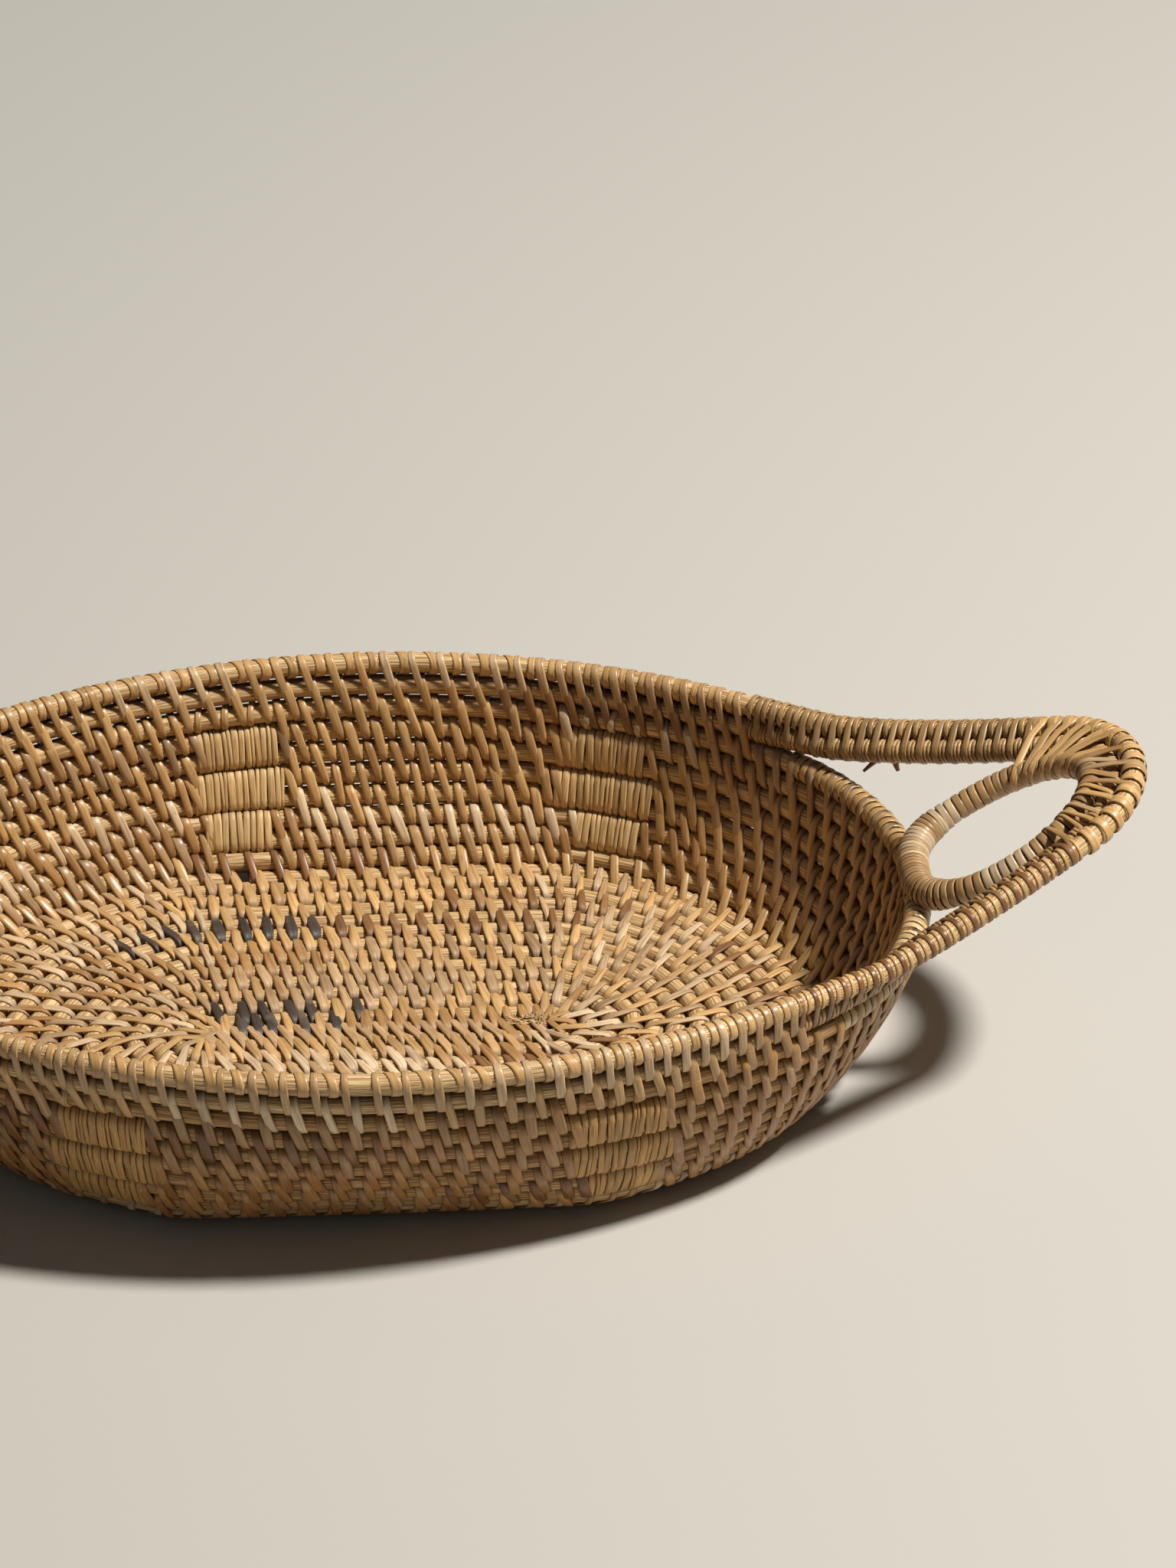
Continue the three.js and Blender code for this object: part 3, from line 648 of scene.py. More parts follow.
def covered(s, rounds_down):
    """True where a length lies under a panel: on its upper rod (0), its lower rod (1) or just above (-1)."""
    hit = np.zeros(len(s), bool)
    at = inner_of(s) if rounds_down < 0 else s
    for _, *span in PANELS:
        low, high = inner_of(np.array(span)) if rounds_down > 0 else span
        hit |= (at > low - PANEL_MARGIN) & (at < high + PANEL_MARGIN)
    return hit


# Materials. The tone comes from each strip, and grain, wear and sheen from the nodes.
GRAIN_ALONG = 0.055
FIBRE_DARK, FINE_DARK, AGE_DARK = (0.4, 0.27, 0.16), (0.5, 0.38, 0.26), (0.72, 0.62, 0.5)
FLECK_TONE = (0.1, 0.065, 0.04)
BUMP_DEPTH = 0.0003


def material(name, grain, contrast, rough, coat=0.0, fleck=0.0, across=1.9, bump=0.25, stain=0.12,
             fibre_from=0.46, fibre_to=0.64):
    """Cane with fibres along the strip, darker and paler patches with age, and flecks."""
    mat = bpy.data.materials.new(name)
    mat.use_nodes = True
    nodes, links = mat.node_tree.nodes, mat.node_tree.links
    shader = nodes["Principled BSDF"]
    shader.inputs["Coat Weight"].default_value = coat
    shader.inputs["Coat Roughness"].default_value = 0.3
    shader.inputs["Specular IOR Level"].default_value = 0.45
    lay = nodes.new("ShaderNodeUVMap")
    lay.uv_map = "lay"

    def noise(scale, detail, stretch):
        place = nodes.new("ShaderNodeMapping")
        place.inputs["Scale"].default_value = stretch
        tex = nodes.new("ShaderNodeTexNoise")
        tex.inputs["Scale"].default_value = scale
        tex.inputs["Detail"].default_value = detail
        links.new(lay.outputs["UV"], place.inputs["Vector"])
        links.new(place.outputs["Vector"], tex.inputs["Vector"])
        return tex.outputs["Fac"]

    def ramp(value, low, high, a, b):
        node = nodes.new("ShaderNodeMapRange")
        node.inputs["From Min"].default_value = low
        node.inputs["From Max"].default_value = high
        node.inputs["To Min"].default_value = a
        node.inputs["To Max"].default_value = b
        links.new(value, node.inputs["Value"])
        return node.outputs["Result"]

    def blend(kind, factor, a, b):
        node = nodes.new("ShaderNodeMix")
        node.data_type = "RGBA"
        node.blend_type = kind
        links.new(factor, node.inputs["Factor"])
        links.new(a, node.inputs["A"])
        node.inputs["B"].default_value = (*b, 1)
        return node.outputs["Result"]

    tone = nodes.new("ShaderNodeVertexColor")
    tone.layer_name = "tone"
    fibre = noise(grain, 3.0, (GRAIN_ALONG, across, 1))
    fine = noise(grain * 2.3, 2.0, (GRAIN_ALONG * 1.4, across, 1))
    patch = noise(0.09, 2.0, (1, 1, 1))
    spots = noise(0.8, 3.0, (0.35, 1, 1))
    colour = tone.outputs["Color"]
    colour = blend("MULTIPLY", ramp(fibre, fibre_from, fibre_to, 0.0, contrast), colour, FIBRE_DARK)
    colour = blend("MULTIPLY", ramp(fine, 0.46, 0.66, 0.0, contrast * 0.7), colour, FINE_DARK)
    colour = blend("MULTIPLY", ramp(patch, 0.45, 0.72, 0.0, stain * 3), colour, AGE_DARK)
    colour = blend("MIX", ramp(patch, 0.3, 0.46, stain, 0.0), colour, tuple(float(v) for v in PALE))
    if fleck:
        colour = blend("MIX", ramp(spots, 0.64, 0.73, 0.0, fleck), colour, FLECK_TONE)
    links.new(colour, shader.inputs["Base Color"])
    links.new(ramp(fine, 0.35, 0.7, rough - 0.08, rough + 0.14), shader.inputs["Roughness"])
    lift = nodes.new("ShaderNodeBump")
    lift.inputs["Strength"].default_value = bump
    lift.inputs["Distance"].default_value = BUMP_DEPTH
    links.new(fibre, lift.inputs["Height"])
    links.new(lift.outputs["Normal"], shader.inputs["Normal"])
    return mat


CORE = material("peeled_rattan_core", 1.1, 0.85, 0.58, bump=0.7, stain=0.1, fibre_from=0.42, fibre_to=0.58)
CANE = material("split_cane", 1.0, 0.45, 0.38, coat=0.2, fleck=0.4, across=1.4, bump=0.2)
DUSTY = material("dusty_floor_cane", 1.0, 0.5, 0.58, coat=0.04, fleck=0.4, across=1.4, stain=0.16)
WINDING = material("ring_winding_cane", 1.0, 0.42, 0.4, coat=0.15, fleck=0.35, across=1.4, bump=0.2,
                   stain=0.16)
STRAW_MAT = material("panel_straw_strips", 1.4, 0.55, 0.5, across=2.0, bump=0.35, stain=0.1)

# Core rods. The coil is parted where the floor ends, at these running angles.
BASE_ROD_TO, WALL_ROD_FROM = 4773.2, 4773.6
ROD_STEP = 2.4
for name, first, last, node in (
    ("base_core_rod", COIL_START, BASE_ROD_TO, "base_coil"),
    ("wall_core_rod", WALL_ROD_FROM, WALL_END, "wall_coil"),
):
    parts = Parts()
    s = np.arange(float(s_of(first)), float(s_of(last)), ROD_STEP)
    # Painted shade on the side of each core rod that faces the round inside.
    joint = unit(COIL.pos(s) - COIL.pos(inner_of(s)))
    # On the front wall the rods get painted shade over their whole tone.
    front_painted_shade = mix(1.0, FRONT_ROD_PAINTED_SHADE, front_wall(s)[:, None])
    tube(parts, COIL.pos(s), rod_radius(s), (CORE_TONE * front_painted_shade)[:, None], joint=joint)
    parts.object(name, CORE, [node])
for name, line, other, node, lay, above in (
    ("rim_core_upper", RIM_UP, RIM_LOW, "rim_rod_upper", 400.0, 0.0),
    ("rim_core_lower", RIM_LOW, RIM_UP, "rim_rod_lower", 900.0, 1.0),
):
    parts = Parts()
    s = np.linspace(0, line.length, 481)[:-1]
    beside = other.pos(nearest(other, line.pos(s), s * other.length / line.length, RIM_SEARCH))
    # Painted shade on the side of each rim rod that faces the other rim rod.
    tube(parts, line.pos(s), RIM_ROD_R, CORE_TONE, closed=True, lay=lay, joint=unit(line.pos(s) - beside),
         above=above, narrow=2 + above)
    parts.object(name, CORE, [node])

# Stitches over the coil, in one piece for the floor and two for the wall. One stands at each panel end.
PANEL_END_GAP = 1.5
OWN_JITTER, INNER_JITTER = 0.35, 0.5
ends = np.array([end + PANEL_END_GAP * sign for _, *span in PANELS for end, sign in zip(span, (-1, 1))])
places = stitch_places()
places = places[abs(places[:, None] - ends).min(1) > STITCH_WIDE]
places = np.sort(np.concatenate([places, ends]))
own = places + rng.uniform(-OWN_JITTER, OWN_JITTER, len(places))
facing = -frontness(places)
angles = a_of(places)
# On the first row in front the rod inside is the centre rod, which runs the other way.
back_way = np.where((angles > FRONT - ROW_WINDOW) & (angles < FRONT + ROW_WINDOW), -1, 1)
inner = inner_of(places) - back_way * slant_at(places) * STITCH_PITCH
inner = inner + rng.uniform(-INNER_JITTER, INNER_JITTER, len(places))
hidden = covered(places, 0) | covered(places, 1)
single = covered(places, -1) & ~hidden
tones = cane_tones(len(places))
# On the floor's round ends the stitches are narrower, and some of them are pale.
FRONT_WIDER = 0.12
CAP_WIDE, ROW_WIDE = 0.85, 1.1
FAN_SHARE = 0.3
WALL_TAPER = -0.35
wide = STITCH_WIDE * rng.uniform(0.84, 1.14, len(places))
cap = abs(COIL.pos(places)[:, 0]) > FOCUS
floor_wide = np.where(cap, CAP_WIDE, ROW_WIDE)
wide *= np.where(on_wall(places) > 0.5, 1.0 + FRONT_WIDER * front_wall(places), floor_wide)
fan = cap & (on_wall(places) < 0.5) & (rng.random(len(places)) < FAN_SHARE)
tones[fan] = mix(PALE, GREYISH, rng.random((fan.sum(), 1))) * rng.uniform(0.85, 1.1, (fan.sum(), 1))
taper = facing * mix(1.0, WALL_TAPER, on_wall(places)) * (1 - front_wall(places))
# On the wall a share of the tone is kept, and on the front wall painted shade darkens the stitches.
wall_share_and_front_shade = mix(WALL_SHADE, FRONT_STITCH_PAINTED_SHADE, front_wall(places)[:, None])
tones *= mix(1.0, wall_share_and_front_shade, on_wall(places)[:, None])
# A stained strip at the left back of the floor, and some dark stitches left of its middle.
STAIN_ANGLE, STAIN_ANGLE_HALF = 3346, 15
STAIN_X, STAIN_X_HALF = -23, 24
STAIN_Y, STAIN_Y_HALF = 9.5, 5
STAIN_SHARE = 0.42
x_at, y_at = COIL.pos(places)[:, 0], COIL.pos(places)[:, 1]
near_middle = (abs(x_at - STAIN_X) < STAIN_X_HALF) & (abs(y_at - STAIN_Y) < STAIN_Y_HALF)
on_strip = abs(angles - STAIN_ANGLE) < STAIN_ANGLE_HALF
stained = on_strip | (near_middle & (rng.random(len(places)) < STAIN_SHARE))
tones[stained] = DARK * rng.uniform(0.8, 1.6, (stained.sum(), 1))
# The running angles of each piece.
GROUPS = {
    "base_stitches": (0, 4900),
    "wall_stitches_lower": (4900, 6300),
    "wall_stitches_upper": (6300, 9000),
}
FLOOR_TWIST = 0.42
FLOOR_THICK, WALL_THICK = 0.5, 0.75
FLOOR_BULGE, WALL_BULGE = 0.12, 0.3
SINGLE_SHARE = 0.8
for name, (first, last) in GROUPS.items():
    parts = Parts()
    group = (angles >= first) & (angles < last) & ~hidden
    i = np.nonzero(group & ~single)[0]
    walled = on_wall(places[i])
    at, way, low = COIL.pos(own[i]), COIL.dir(own[i]), COIL.pos(inner[i])
    wraps(parts, at, way, low, wide[i], tones[i], rod_radius(own[i]), taper=taper[i],
          twist=FLOOR_TWIST * facing[i] * (1 - walled), thick=mix(FLOOR_THICK, WALL_THICK, walled),
          bulge=mix(FLOOR_BULGE, WALL_BULGE, walled))
    i = np.nonzero(group & single)[0]
    if len(i):
        wraps(parts, COIL.pos(own[i]), COIL.dir(own[i]), None, wide[i] * SINGLE_SHARE, tones[i],
              rod_radius(own[i]), up=UP, slant=1.0)
    parts.object(name, DUSTY if name == "base_stitches" else CANE)

# Straw panels: thin strips side by side round two rods, one in four of them narrow.
STRAW_WIDTHS = (1.7, 2.8)
STRAW_SHARES = [1, 1, 1, 0.55]
STRAW_THICK = 0.55
STRAW_JITTER = 0.35
# The share of its place that a strip or band fills.
BAND_FILL = 0.97
for name, first, last in PANELS:
    parts = Parts()
    edges = [first]
    while edges[-1] < last:
        edges.append(edges[-1] + rng.uniform(*STRAW_WIDTHS) * rng.choice(STRAW_SHARES))
    edges = np.array(edges)
    s = (edges[1:] + edges[:-1]) / 2
    n = len(s)
    t = inner_of(s) + rng.uniform(-STRAW_JITTER, STRAW_JITTER, n)
    # The front panels get painted shade over their straw tone.
    straw = STRAW * (FRONT_STRAW_PAINTED_SHADE if name.startswith("front") else 1.0)
    straw = straw * rng.uniform(0.8, 1.1, (n, 1))
    wraps(parts, COIL.pos(s), COIL.dir(s), COIL.pos(t), np.diff(edges) * BAND_FILL, straw,
          WALL_ROD_R + rng.uniform(0.0, 0.3, n), thick=STRAW_THICK)
    parts.object("straw_" + name, STRAW_MAT, ["panel_" + name])

# The rim: the lower rod beside each length of the upper one, and the wall's top round beside the lower.
TOP_ROUND_ANGLE = 366
RIM_SAMPLES = 1200
top_first = float(s_of(WALL_END - TOP_ROUND_ANGLE))
RIM_S = np.linspace(0, RIM_UP.length, RIM_SAMPLES)
LOW_GUESS = np.linspace(0, RIM_LOW.length, RIM_SAMPLES)
LOW_S = nearest(RIM_LOW, RIM_UP.pos(RIM_S), LOW_GUESS, RIM_SEARCH)
top_s = np.arange(top_first, COIL.length, 1.0)
top_pos = COIL.pos(top_s)
WALL_S = np.array([top_s[np.argmin(((top_pos - p) ** 2).sum(1))] for p in RIM_LOW.pos(LOW_GUESS)])


def rim_low_of(s):
    """Length on the lower rim rod beside a length of the upper one."""
    turn = np.unwrap(LOW_S * 2 * math.pi / RIM_LOW.length) * RIM_LOW.length / (2 * math.pi)
    return np.interp(np.mod(s, RIM_UP.length), RIM_S, turn)


ARM_FROM = LEAVE_X + 4
ARM_PITCH = 5.0
RIM_PITCH_X, RIM_PITCH = [-90, -60, 40, 62], [6.6, 8.4, 8.4, 5.7]


def spaced(line, pitch, first=0.0):
    """Lengths along a line, each a pitch, which may change with x, from the last."""
    out = [first]
    while out[-1] < line.length - 2:
        out.append(out[-1] + float(pitch(line.pos(np.array(out[-1]))[0])))
    return np.array(out[:-1])


def rim_pitch(x):
    return np.interp(x, RIM_PITCH_X, RIM_PITCH)


# Over the wall: long wraps round both rods, and between them wide slanted ones round the upper rod alone.
# Where the pitch is wide they vary more. A strip on its way down leans by other lengths in front and behind.
WIDE_PITCH = 7
RIM_WIDE, RIM_THICK = 2.6, 0.5
RIM_TAPER = -0.3
RIM_DOME = 0.6
LEAN_FRONT, LEAN_BEHIND = -0.8, 2.0
BAND_WIDE, CLOSE_BAND_WIDE = (2.6, 3.7), 2.5
BAND_SLANT, CLOSE_BAND_SLANT = (0.9, 1.9), -0.3
BAND_THICK = 0.33
parts = Parts()
s = spaced(RIM_UP, rim_pitch)
s = s[abs(RIM_UP.pos(s)[:, 0]) < ARM_FROM]
gap = rim_pitch(RIM_UP.pos(s)[:, 0])
s = s + rng.uniform(-0.3, 0.3, len(s))
rim_long = s
behind = np.sign(RIM_UP.pos(s)[:, 1])
low = RIM_LOW.pos(rim_low_of(s) - mix(LEAN_FRONT, LEAN_BEHIND, (behind + 1) / 2))
wraps(parts, RIM_UP.pos(s), RIM_UP.dir(s), low, RIM_WIDE * rng.uniform(0.85, 1.1, len(s)),
      mix(GOLDEN, cane_tones(len(s), (3, 14)), 0.6), RIM_ROD_R, taper=RIM_TAPER * behind, thick=RIM_THICK,
      dome=RIM_DOME, joint=0.0)
sparse = gap > WIDE_PITCH
keep = rng.random(len(s)) < np.where(sparse, 0.9, 1.0)
t = (s + gap * np.where(sparse, rng.uniform(0.42, 0.6, len(s)), 0.5))[keep]
up = RIM_UP.pos(t) - RIM_LOW.pos(rim_low_of(t))
broad = np.where(sparse, rng.uniform(*BAND_WIDE, len(s)), CLOSE_BAND_WIDE)[keep]
tones = GOLDEN * rng.uniform(0.85, 1.2, (len(t), 1))
slant = np.where(sparse, -rng.uniform(*BAND_SLANT, len(s)), CLOSE_BAND_SLANT)[keep]
wraps(parts, RIM_UP.pos(t), RIM_UP.dir(t), None, broad, tones, RIM_ROD_R, up=up, slant=slant,
      thick=BAND_THICK, dome=RIM_DOME)
parts.object("rim_stitches", CANE)

# The lower rim rod is sewn to the wall's top round until the two part, each stitch beside a long wrap.
BESIDE_LONG = 2.8
SEWN_WITHIN = 10.5
SEWN_LEAN_FRONT = -1.4
parts = Parts()
s = np.mod(rim_low_of(rim_long) - BESIDE_LONG * behind, RIM_LOW.length)
t = np.interp(s, LOW_GUESS, WALL_S)
near = np.linalg.norm(RIM_LOW.pos(s) - COIL.pos(t), axis=1) < SEWN_WITHIN
s, t = s[near], t[near]
behind = np.sign(RIM_LOW.pos(s)[:, 1])
t = t - mix(SEWN_LEAN_FRONT, LEAN_BEHIND, (behind + 1) / 2) + rng.uniform(-0.5, 0.5, len(s))
wraps(parts, RIM_LOW.pos(s), RIM_LOW.dir(s), COIL.pos(t), STITCH_WIDE * rng.uniform(0.9, 1.12, len(s)),
      cane_tones(len(s), (4, 16)), RIM_ROD_R, taper=RIM_TAPER * behind)
parts.object("rim_to_wall_stitches", CANE)

# Handle arms: glossy brown wraps round the pair, golden ones round the upper rod between them, and thin
# ones below. The tip, out to LASH_REACH degrees each way, has wide bands and no long wraps.
LASH_REACH = 66
THIN_APART = 0.62
ARM_SLANT = 0.3
BACK_TONE = 0.64
LONG_WIDE_FRONT, LONG_WIDE_BACK = 1.9, 2.3
LONG_THICK_FRONT, LONG_THICK_BACK = 0.42, 0.7
TIP_BAND_WIDER, TIP_BAND_OUT = 1.9, 0.42
BETWEEN_THICK, THIN_THICK = 0.36, 0.45
arm = Parts()
arm_s = np.arange(0, RIM_UP.length, 0.5)
arm_s = arm_s[RIM_UP.pos(arm_s)[:, 0] > ARM_FROM]
s = np.arange(arm_s.min(), arm_s.max(), ARM_PITCH)
pos = RIM_UP.pos(s)
free = abs(np.degrees(np.arctan2(pos[:, 1], pos[:, 0] - TIP_C))) > LASH_REACH
back = (pos[:, 1] > 0).astype(float)
s = s + rng.uniform(-0.2, 0.2, len(s))
low = RIM_LOW.pos(rim_low_of(s))
long_tones = np.where(back[:, None] > 0, GOLDEN * BACK_TONE, GLOSSY_BROWN)
long_tones = long_tones * rng.uniform(0.85, 1.15, (len(s), 1))
long_wide = mix(LONG_WIDE_FRONT, LONG_WIDE_BACK, back) * rng.uniform(0.88, 1.1, len(s))
wraps(arm, RIM_UP.pos(s)[free], RIM_UP.dir(s)[free], low[free], long_wide[free], long_tones[free], RIM_ROD_R,
      thick=mix(LONG_THICK_FRONT, LONG_THICK_BACK, back[free]), dome=RIM_DOME, joint=0.0)
between = s + ARM_PITCH / 2
up = RIM_UP.pos(between) - RIM_LOW.pos(rim_low_of(between))
at_tip = np.where(free, 0.0, 1.0)
broad = rng.uniform(1.0, 1.4, len(s)) + mix(0.6 * back, TIP_BAND_WIDER, at_tip)
tones = GOLDEN * rng.uniform(0.95, 1.25, (len(s), 1)) * mix(1 - 0.3 * back, 1.0, at_tip)[:, None]
wraps(arm, RIM_UP.pos(between), RIM_UP.dir(between), None, broad, tones,
      RIM_ROD_R + mix(0.15 * back, TIP_BAND_OUT, at_tip), up=up, slant=ARM_SLANT,
      thick=mix(BETWEEN_THICK + 0.4 * back, BETWEEN_THICK, at_tip), dome=RIM_DOME)
for offset in (-THIN_APART, THIN_APART):
    t = rim_low_of(between) + offset
    up = RIM_UP.pos(between) - RIM_LOW.pos(t)
    thin = rng.uniform(1.0, 1.2, len(t))
    tones = GOLDEN * rng.uniform(0.7, 1.1, (len(t), 1))
    wraps(arm, RIM_LOW.pos(t), RIM_LOW.dir(t), None, thin, tones, RIM_ROD_R, up=up, slant=ARM_SLANT,
          thick=THIN_THICK)
arm.handles("arm_wraps", CANE)

# Ring winding: close flat bands of cane round a core, narrow and swollen at the seat, with whitish patches.
RING_WIND_R = 3.3
SEAT_PITCH, RING_PITCH = 1.7, 2.75
SEAT_SWELL = 0.9
PATCH_BACK, PATCH_FRONT, PATCH_HALF = 12, 24, 7
winding = Parts()
# The core under the bands is painted near black, as painted shade in the narrow gaps between bands.
tube(winding, RING.points, RING_WIND_R, BROWN * 0.35, closed=True)
s = spaced(RING, lambda x: np.interp(x, [RING_SEAT_X + 3, RING_SEAT_X + 9], [SEAT_PITCH, RING_PITCH]))
pitch = np.diff(np.append(s, RING.length))
n = len(s)
at = RING.pos(s)
tones = mix(mix(GOLDEN, ORANGE, rng.random((n, 1))), GREYISH, 0.4) * rng.uniform(0.72, 0.98, (n, 1))
along = at[:, 0] - RING_SEAT_X
by_seat = (along < 5) & (abs(at[:, 1] - 9) < 6)
patch = (abs(along - np.where(at[:, 1] > 0, PATCH_BACK, PATCH_FRONT)) < PATCH_HALF) | by_seat
whitish = patch & (rng.random(n) < 0.8)
tones[whitish] = PALE * rng.uniform(0.72, 0.95, (whitish.sum(), 1))
swell = SEAT_SWELL * smooth((RING_SEAT_X + 11 - at[:, 0]) / 9)
wraps(winding, at, RING.dir(s), None, pitch * BAND_FILL, tones, RING_WIND_R + swell, up=UP,
      slant=rng.uniform(-0.12, 0.3, n), thick=rng.uniform(0.44, 0.56, n), dome=0.4)
winding.handles("ring_winding", WINDING, "handle_ring")


def hull_path(circles, count):
    """A taut loop round circles ((x, y), r), as points and outward directions."""
    turn = np.arange(40) * 2 * math.pi / 40
    ring = np.stack([np.cos(turn), np.sin(turn)], -1)
    pts = np.concatenate([np.asarray(c)[None] + r * ring for c, r in circles])
    out = np.concatenate([ring for _ in circles])
    order = np.lexsort((pts[:, 1], pts[:, 0]))

    def half(idx):
        chain = []
        for i in idx:
            while len(chain) > 1:
                a, b = pts[chain[-2]], pts[chain[-1]]
                if (b[0] - a[0]) * (pts[i][1] - a[1]) - (b[1] - a[1]) * (pts[i][0] - a[0]) > 1e-9:
                    break
                chain.pop()
            chain.append(i)
        return chain[:-1]

    hull = half(order) + half(order[::-1])
    loop = np.concatenate([pts[hull], pts[hull[:1]]])
    face = np.concatenate([out[hull], out[hull[:1]]])
    s = np.concatenate([[0], np.cumsum(np.linalg.norm(np.diff(loop, axis=0), axis=1))])
    t = np.linspace(0, s[-1], count + 1)[:-1]
    p = np.stack([np.interp(t, s, loop[:, k]) for k in range(2)], -1)
    n = unit(np.stack([np.interp(t, s, face[:, k]) for k in range(2)], -1))
    return p, n


# Tip lashing: long strips fanned from the ring over both rods.
tip = Parts()
ring_tip = RING.points[RING.points[:, 0] > RING_CENTRE_X]
ring_turn = np.degrees(np.arctan2(ring_tip[:, 1], ring_tip[:, 0] - TIP_C))
sort = np.argsort(ring_turn)


def tip_points(a, fan):
    """The upper rod, lower rod and ring where a lashing crosses them, a fan of angles apart."""

    def on_rod(turn, inward, down):
        height = Z_UPPER + rise(TIP_C + TIP_R * math.cos(turn)) - down
        r = TIP_R - inward
        return np.array([TIP_C + r * math.cos(turn), r * math.sin(turn), height])

    ring_at = [np.interp(math.degrees(a + fan), ring_turn[sort], ring_tip[sort][:, k]) for k in range(3)]
    return [on_rod(a, 0, 0), on_rod(a + fan / 2, PAIR_IN, PAIR_DOWN), np.array(ring_at)]


LASHINGS = 19
LASH_THICK = 0.45
LASH_STATIONS = 30
RING_OVER, SEAT_RIM_OVER, SEAT_RING_OVER = 0.6, 0.5, 0.55
# In front, as far as this angle, every other strip leaves the upper rod free.
FREE_UP_TO = 25
for i, degrees in enumerate(np.linspace(-LASH_REACH, LASH_REACH, LASHINGS)):
    a = math.radians(degrees + rng.uniform(-1.5, 1.5))
    centres = tip_points(a, math.radians(rng.uniform(5, 11)))
    radial = np.array([math.cos(a), math.sin(a), 0])
    tangent = np.cross(UP, radial)
    radii = (RIM_ROD_R + SKIN, RIM_ROD_R + SKIN, RING_WIND_R + RING_OVER)
    first = 1 if degrees < FREE_UP_TO and i % 2 else 0
    circles = [((float(c @ radial), float(c[2])), r) for c, r in zip(centres, radii)]
    path, face = hull_path(circles[first:], LASH_STATIONS)
    along = np.array([float(c @ tangent) for c in centres])
    reach = np.array([float(c @ radial) for c in centres])
    drift = np.interp(path[:, 0], reach[::-1], along[::-1])
    p = path[:, :1] * radial + path[:, 1:] * UP + drift[:, None] * tangent
    n = face[:, :1] * radial + face[:, 1:] * UP
    tone = [GOLDEN, GOLDEN, ORANGE, GREYISH][int(rng.integers(4))] * rng.uniform(0.8, 1.15)
    loops(tip, p[None], n[None], rng.uniform(1.0, 1.35), LASH_THICK, tone)
tip.handles("tip_lashing", CANE, "tip_lacing")

# Seat lashing: the ring's near end bound to the end wall's rim.
SEAT_STRIPS = 8
SEAT_HALF = 7
SEAT_STATIONS = 26
SEAT_STRIP_HALF, SEAT_STRIP_THICK = 0.95, 0.32
FAR_RIGHT = 100
seat = Parts()
ring_near = RING.points[RING.points[:, 0] < RING_CENTRE_X - 8]
right = top_pos[top_pos[:, 0] > FAR_RIGHT]
for y in np.linspace(-SEAT_HALF, SEAT_HALF, SEAT_STRIPS) + rng.uniform(-0.3, 0.3, SEAT_STRIPS):
    c_ring = ring_near[np.argmin(abs(ring_near[:, 1] - y))]
    c_rim = right[np.argmin(abs(right[:, 1] - y))]
    radii = (WALL_ROD_R + SEAT_RIM_OVER, RING_WIND_R + SEAT_RING_OVER)
    flat = [((c[0], c[2]), r) for c, r in zip((c_rim, c_ring), radii)]
    path, face = hull_path(flat, SEAT_STATIONS)
    p = np.stack([path[:, 0], np.full(SEAT_STATIONS, y), path[:, 1]], -1)
    n = np.stack([face[:, 0], np.zeros(SEAT_STATIONS), face[:, 1]], -1)
    loops(seat, p[None], n[None], SEAT_STRIP_HALF, SEAT_STRIP_THICK, GOLDEN * rng.uniform(0.8, 1.1))
seat.handles("seat_lashing", CANE, "seat_lacing")

# End rims: the wall's top round is wrapped where the rim rods have left it, in paler, wider bands in front.
CLEAR_OF_RIM = 8.0
END_PITCH = 3.0
FRONT_BAND, BACK_BAND = 2.75, 2.45
FRONT_BELOW_Y = -8
END_SLANT, END_THICK, END_OVER = 0.4, 0.42, 0.2
parts = Parts()
low_points = RIM_LOW.pos(np.linspace(0, RIM_LOW.length, 2000))
clear = np.array([np.sqrt(((low_points - p) ** 2).sum(1).min()) for p in top_pos]) > CLEAR_OF_RIM
s = spaced(COIL, lambda x: END_PITCH, first=top_first)
s = s[np.interp(s, top_s, clear) > 0.5]
n = len(s)
in_front = COIL.pos(s)[:, 1] < FRONT_BELOW_Y
tones = np.where(in_front[:, None], CORE_TONE * 0.85, GOLDEN * 0.95) * rng.uniform(0.85, 1.12, (n, 1))
broad = np.where(in_front, FRONT_BAND, BACK_BAND) * rng.uniform(0.9, 1.05, n)
wraps(parts, COIL.pos(s), COIL.dir(s), None, broad, tones, WALL_ROD_R + END_OVER, up=UP, slant=END_SLANT,
      thick=END_THICK)
parts.object("end_rim_wraps", CANE)


def tails(parts, starts, ways, curls, radius, tone):
    """Loose fibre or cane ends, each from its start along its way, bending off by its curl."""
    t = np.linspace(0, 1, 8)[:, None]
    thinning = 1.15 - 0.6 * t[:, 0]
    for start, way, curl in zip(starts, ways, curls):
        tube(parts, start + t * way + t**2 * curl, radius * rng.uniform(0.7, 1.3) * thinning,
             tone * rng.uniform(0.7, 1.15), sides=6)


# Frayed fibres where the centre rod begins, a curled strip at its other end, and tails under the back arms.
loose = Parts()
FRAYS = 52
FRAY_R, CURL_R, TAIL_R = 0.3, 0.75, 0.8
FLOOR_TOP = 2 * FLOOR_ROD_R + STRIP_THICK
frayed_x, frayed_y = rng.uniform(42, 50, FRAYS), rng.uniform(-2.4, 2.4, FRAYS)
frayed = np.stack([frayed_x, frayed_y, np.full(FRAYS, FLOOR_TOP + 0.2)], -1)
ways = np.stack([rng.uniform(-4, 4, FRAYS), rng.uniform(-1, 1, FRAYS), rng.uniform(0.5, 2.2, FRAYS)], -1)
tails(loose, frayed, ways, rng.uniform(-1.0, 0.8, (FRAYS, 3)), FRAY_R, CORE_TONE * 0.75)
curled_from = np.array([[-52.0, 1.5, FLOOR_TOP]])
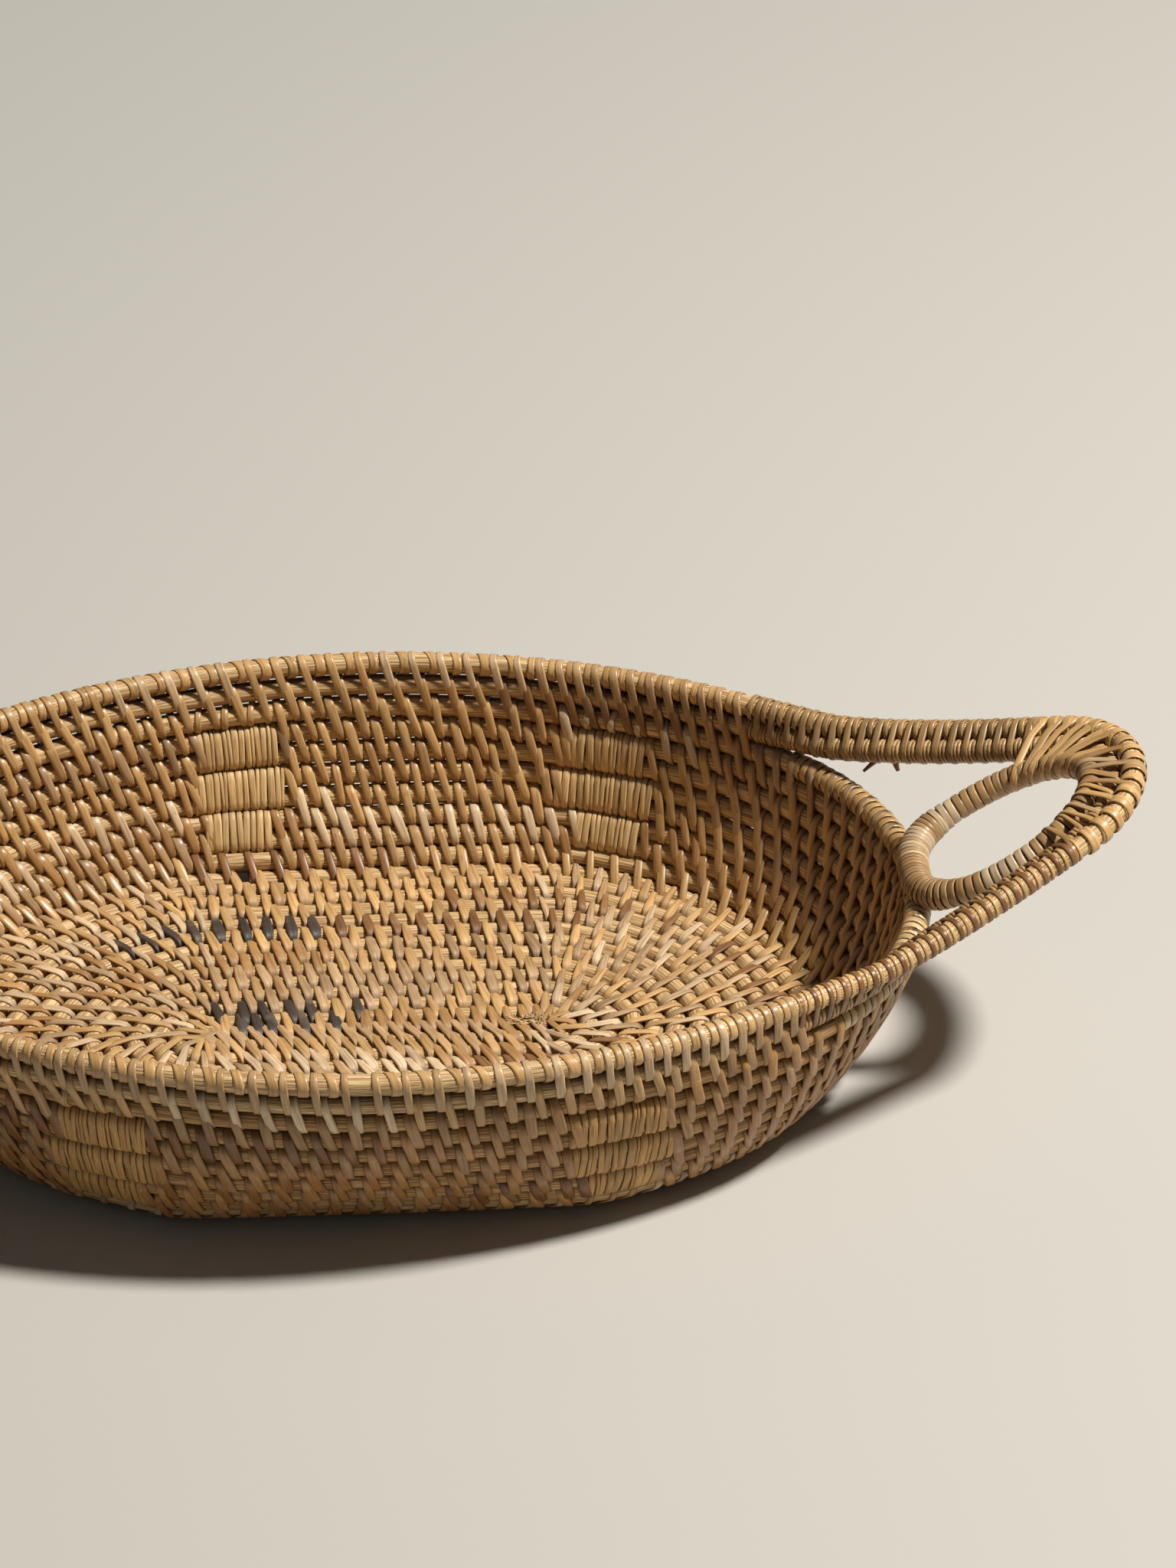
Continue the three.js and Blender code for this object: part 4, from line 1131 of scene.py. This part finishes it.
tails(loose, curled_from, np.array([[9.0, 1.0, 1.6]]), np.array([[-2.0, -3.5, -1.2]]), CURL_R, PALE)
TAILS_X = (152.0, 157.0)
TAIL_WAYS = np.array([[-3.5, -1.0, -2.6], [0.4, -1.2, -3.4]])
TAIL_CURLS = np.array([[-0.6, 0, -0.8], [0.5, 0, 0.3]])
arm_low = low_points[(low_points[:, 0] > FAR_RIGHT) & (low_points[:, 1] > 0)]
hung = np.array([arm_low[np.argmin(abs(arm_low[:, 0] - x))] for x in TAILS_X]) - UP * RIM_ROD_R
for side in (-1, 1):
    mirror = np.array([side, 1, 1])
    tails(loose, hung * mirror, TAIL_WAYS * mirror, TAIL_CURLS * mirror, TAIL_R, BROWN * 0.8)
loose.object("loose_ends", CANE)

# Floor, light and camera.
FLOOR_TONE = srgb(189, 186, 179)
FLOOR_HALF = 6.0
scene = bpy.context.scene
floor_mat = bpy.data.materials.new("pale_floor")
floor_mat.use_nodes = True
floor_shader = floor_mat.node_tree.nodes["Principled BSDF"]
floor_shader.inputs["Roughness"].default_value = 0.8
floor_shader.inputs["Base Color"].default_value = (*FLOOR_TONE, 1)
floor_mesh = bpy.data.meshes.new("floor")
corners = [(x * FLOOR_HALF, y * FLOOR_HALF, 0) for x, y in ((-1, -1), (1, -1), (1, 1), (-1, 1))]
floor_mesh.from_pydata(corners, [], [(0, 1, 2, 3)])
floor_mesh.materials.append(floor_mat)
floor = bpy.data.objects.new("floor", floor_mesh)
scene.collection.objects.link(floor)

scene.view_settings.view_transform = "Standard"
world = bpy.data.worlds.new("studio")
world.use_nodes = True
sky = world.node_tree.nodes["Background"]
sky.inputs["Color"].default_value = (1.0, 0.98, 0.95, 1)
sky.inputs["Strength"].default_value = 0.08
scene.world = world
LIGHT_AIM = (0, 0, 0.03)


def softbox(name, place, size, watts, colour):
    """A round soft light at place, aimed at the basket."""
    lamp = bpy.data.lights.new(name, "AREA")
    lamp.shape = "DISK"
    lamp.size = size
    lamp.energy = watts
    lamp.color = colour
    ob = bpy.data.objects.new(name, lamp)
    ob.location = place
    x, y, z = np.array(LIGHT_AIM) - np.array(place)
    ob.rotation_euler = (math.atan2(math.hypot(x, y), -z), 0, math.atan2(y, x) - math.pi / 2)
    scene.collection.objects.link(ob)


softbox("key", place=(1.36, -0.1, 2.2), size=0.3, watts=95, colour=(1.0, 0.965, 0.91))
softbox("fill", place=(-1.1, -1.4, 1.2), size=1.6, watts=0.4, colour=(1.0, 0.98, 0.96))

# The photograph's viewpoint: focal length in its pixels, height of its frame, place and angles.
FOCAL_PIXELS = 8500
PHOTO_HEIGHT = 2048
SENSOR = 36
CAMERA_PLACE = (-0.0277, -1.57279, 1.08898)
CAMERA_DOWN, CAMERA_TURN = 0.565857, -0.057565
cam = bpy.data.cameras.new("photo_camera")
cam.sensor_width = SENSOR
cam.lens = FOCAL_PIXELS * SENSOR / PHOTO_HEIGHT
cam.clip_end = 30
cam_ob = bpy.data.objects.new("photo_camera", cam)
cam_ob.location = CAMERA_PLACE
cam_ob.rotation_euler = (math.pi / 2 - CAMERA_DOWN, 0, CAMERA_TURN)
scene.collection.objects.link(cam_ob)
scene.camera = cam_ob
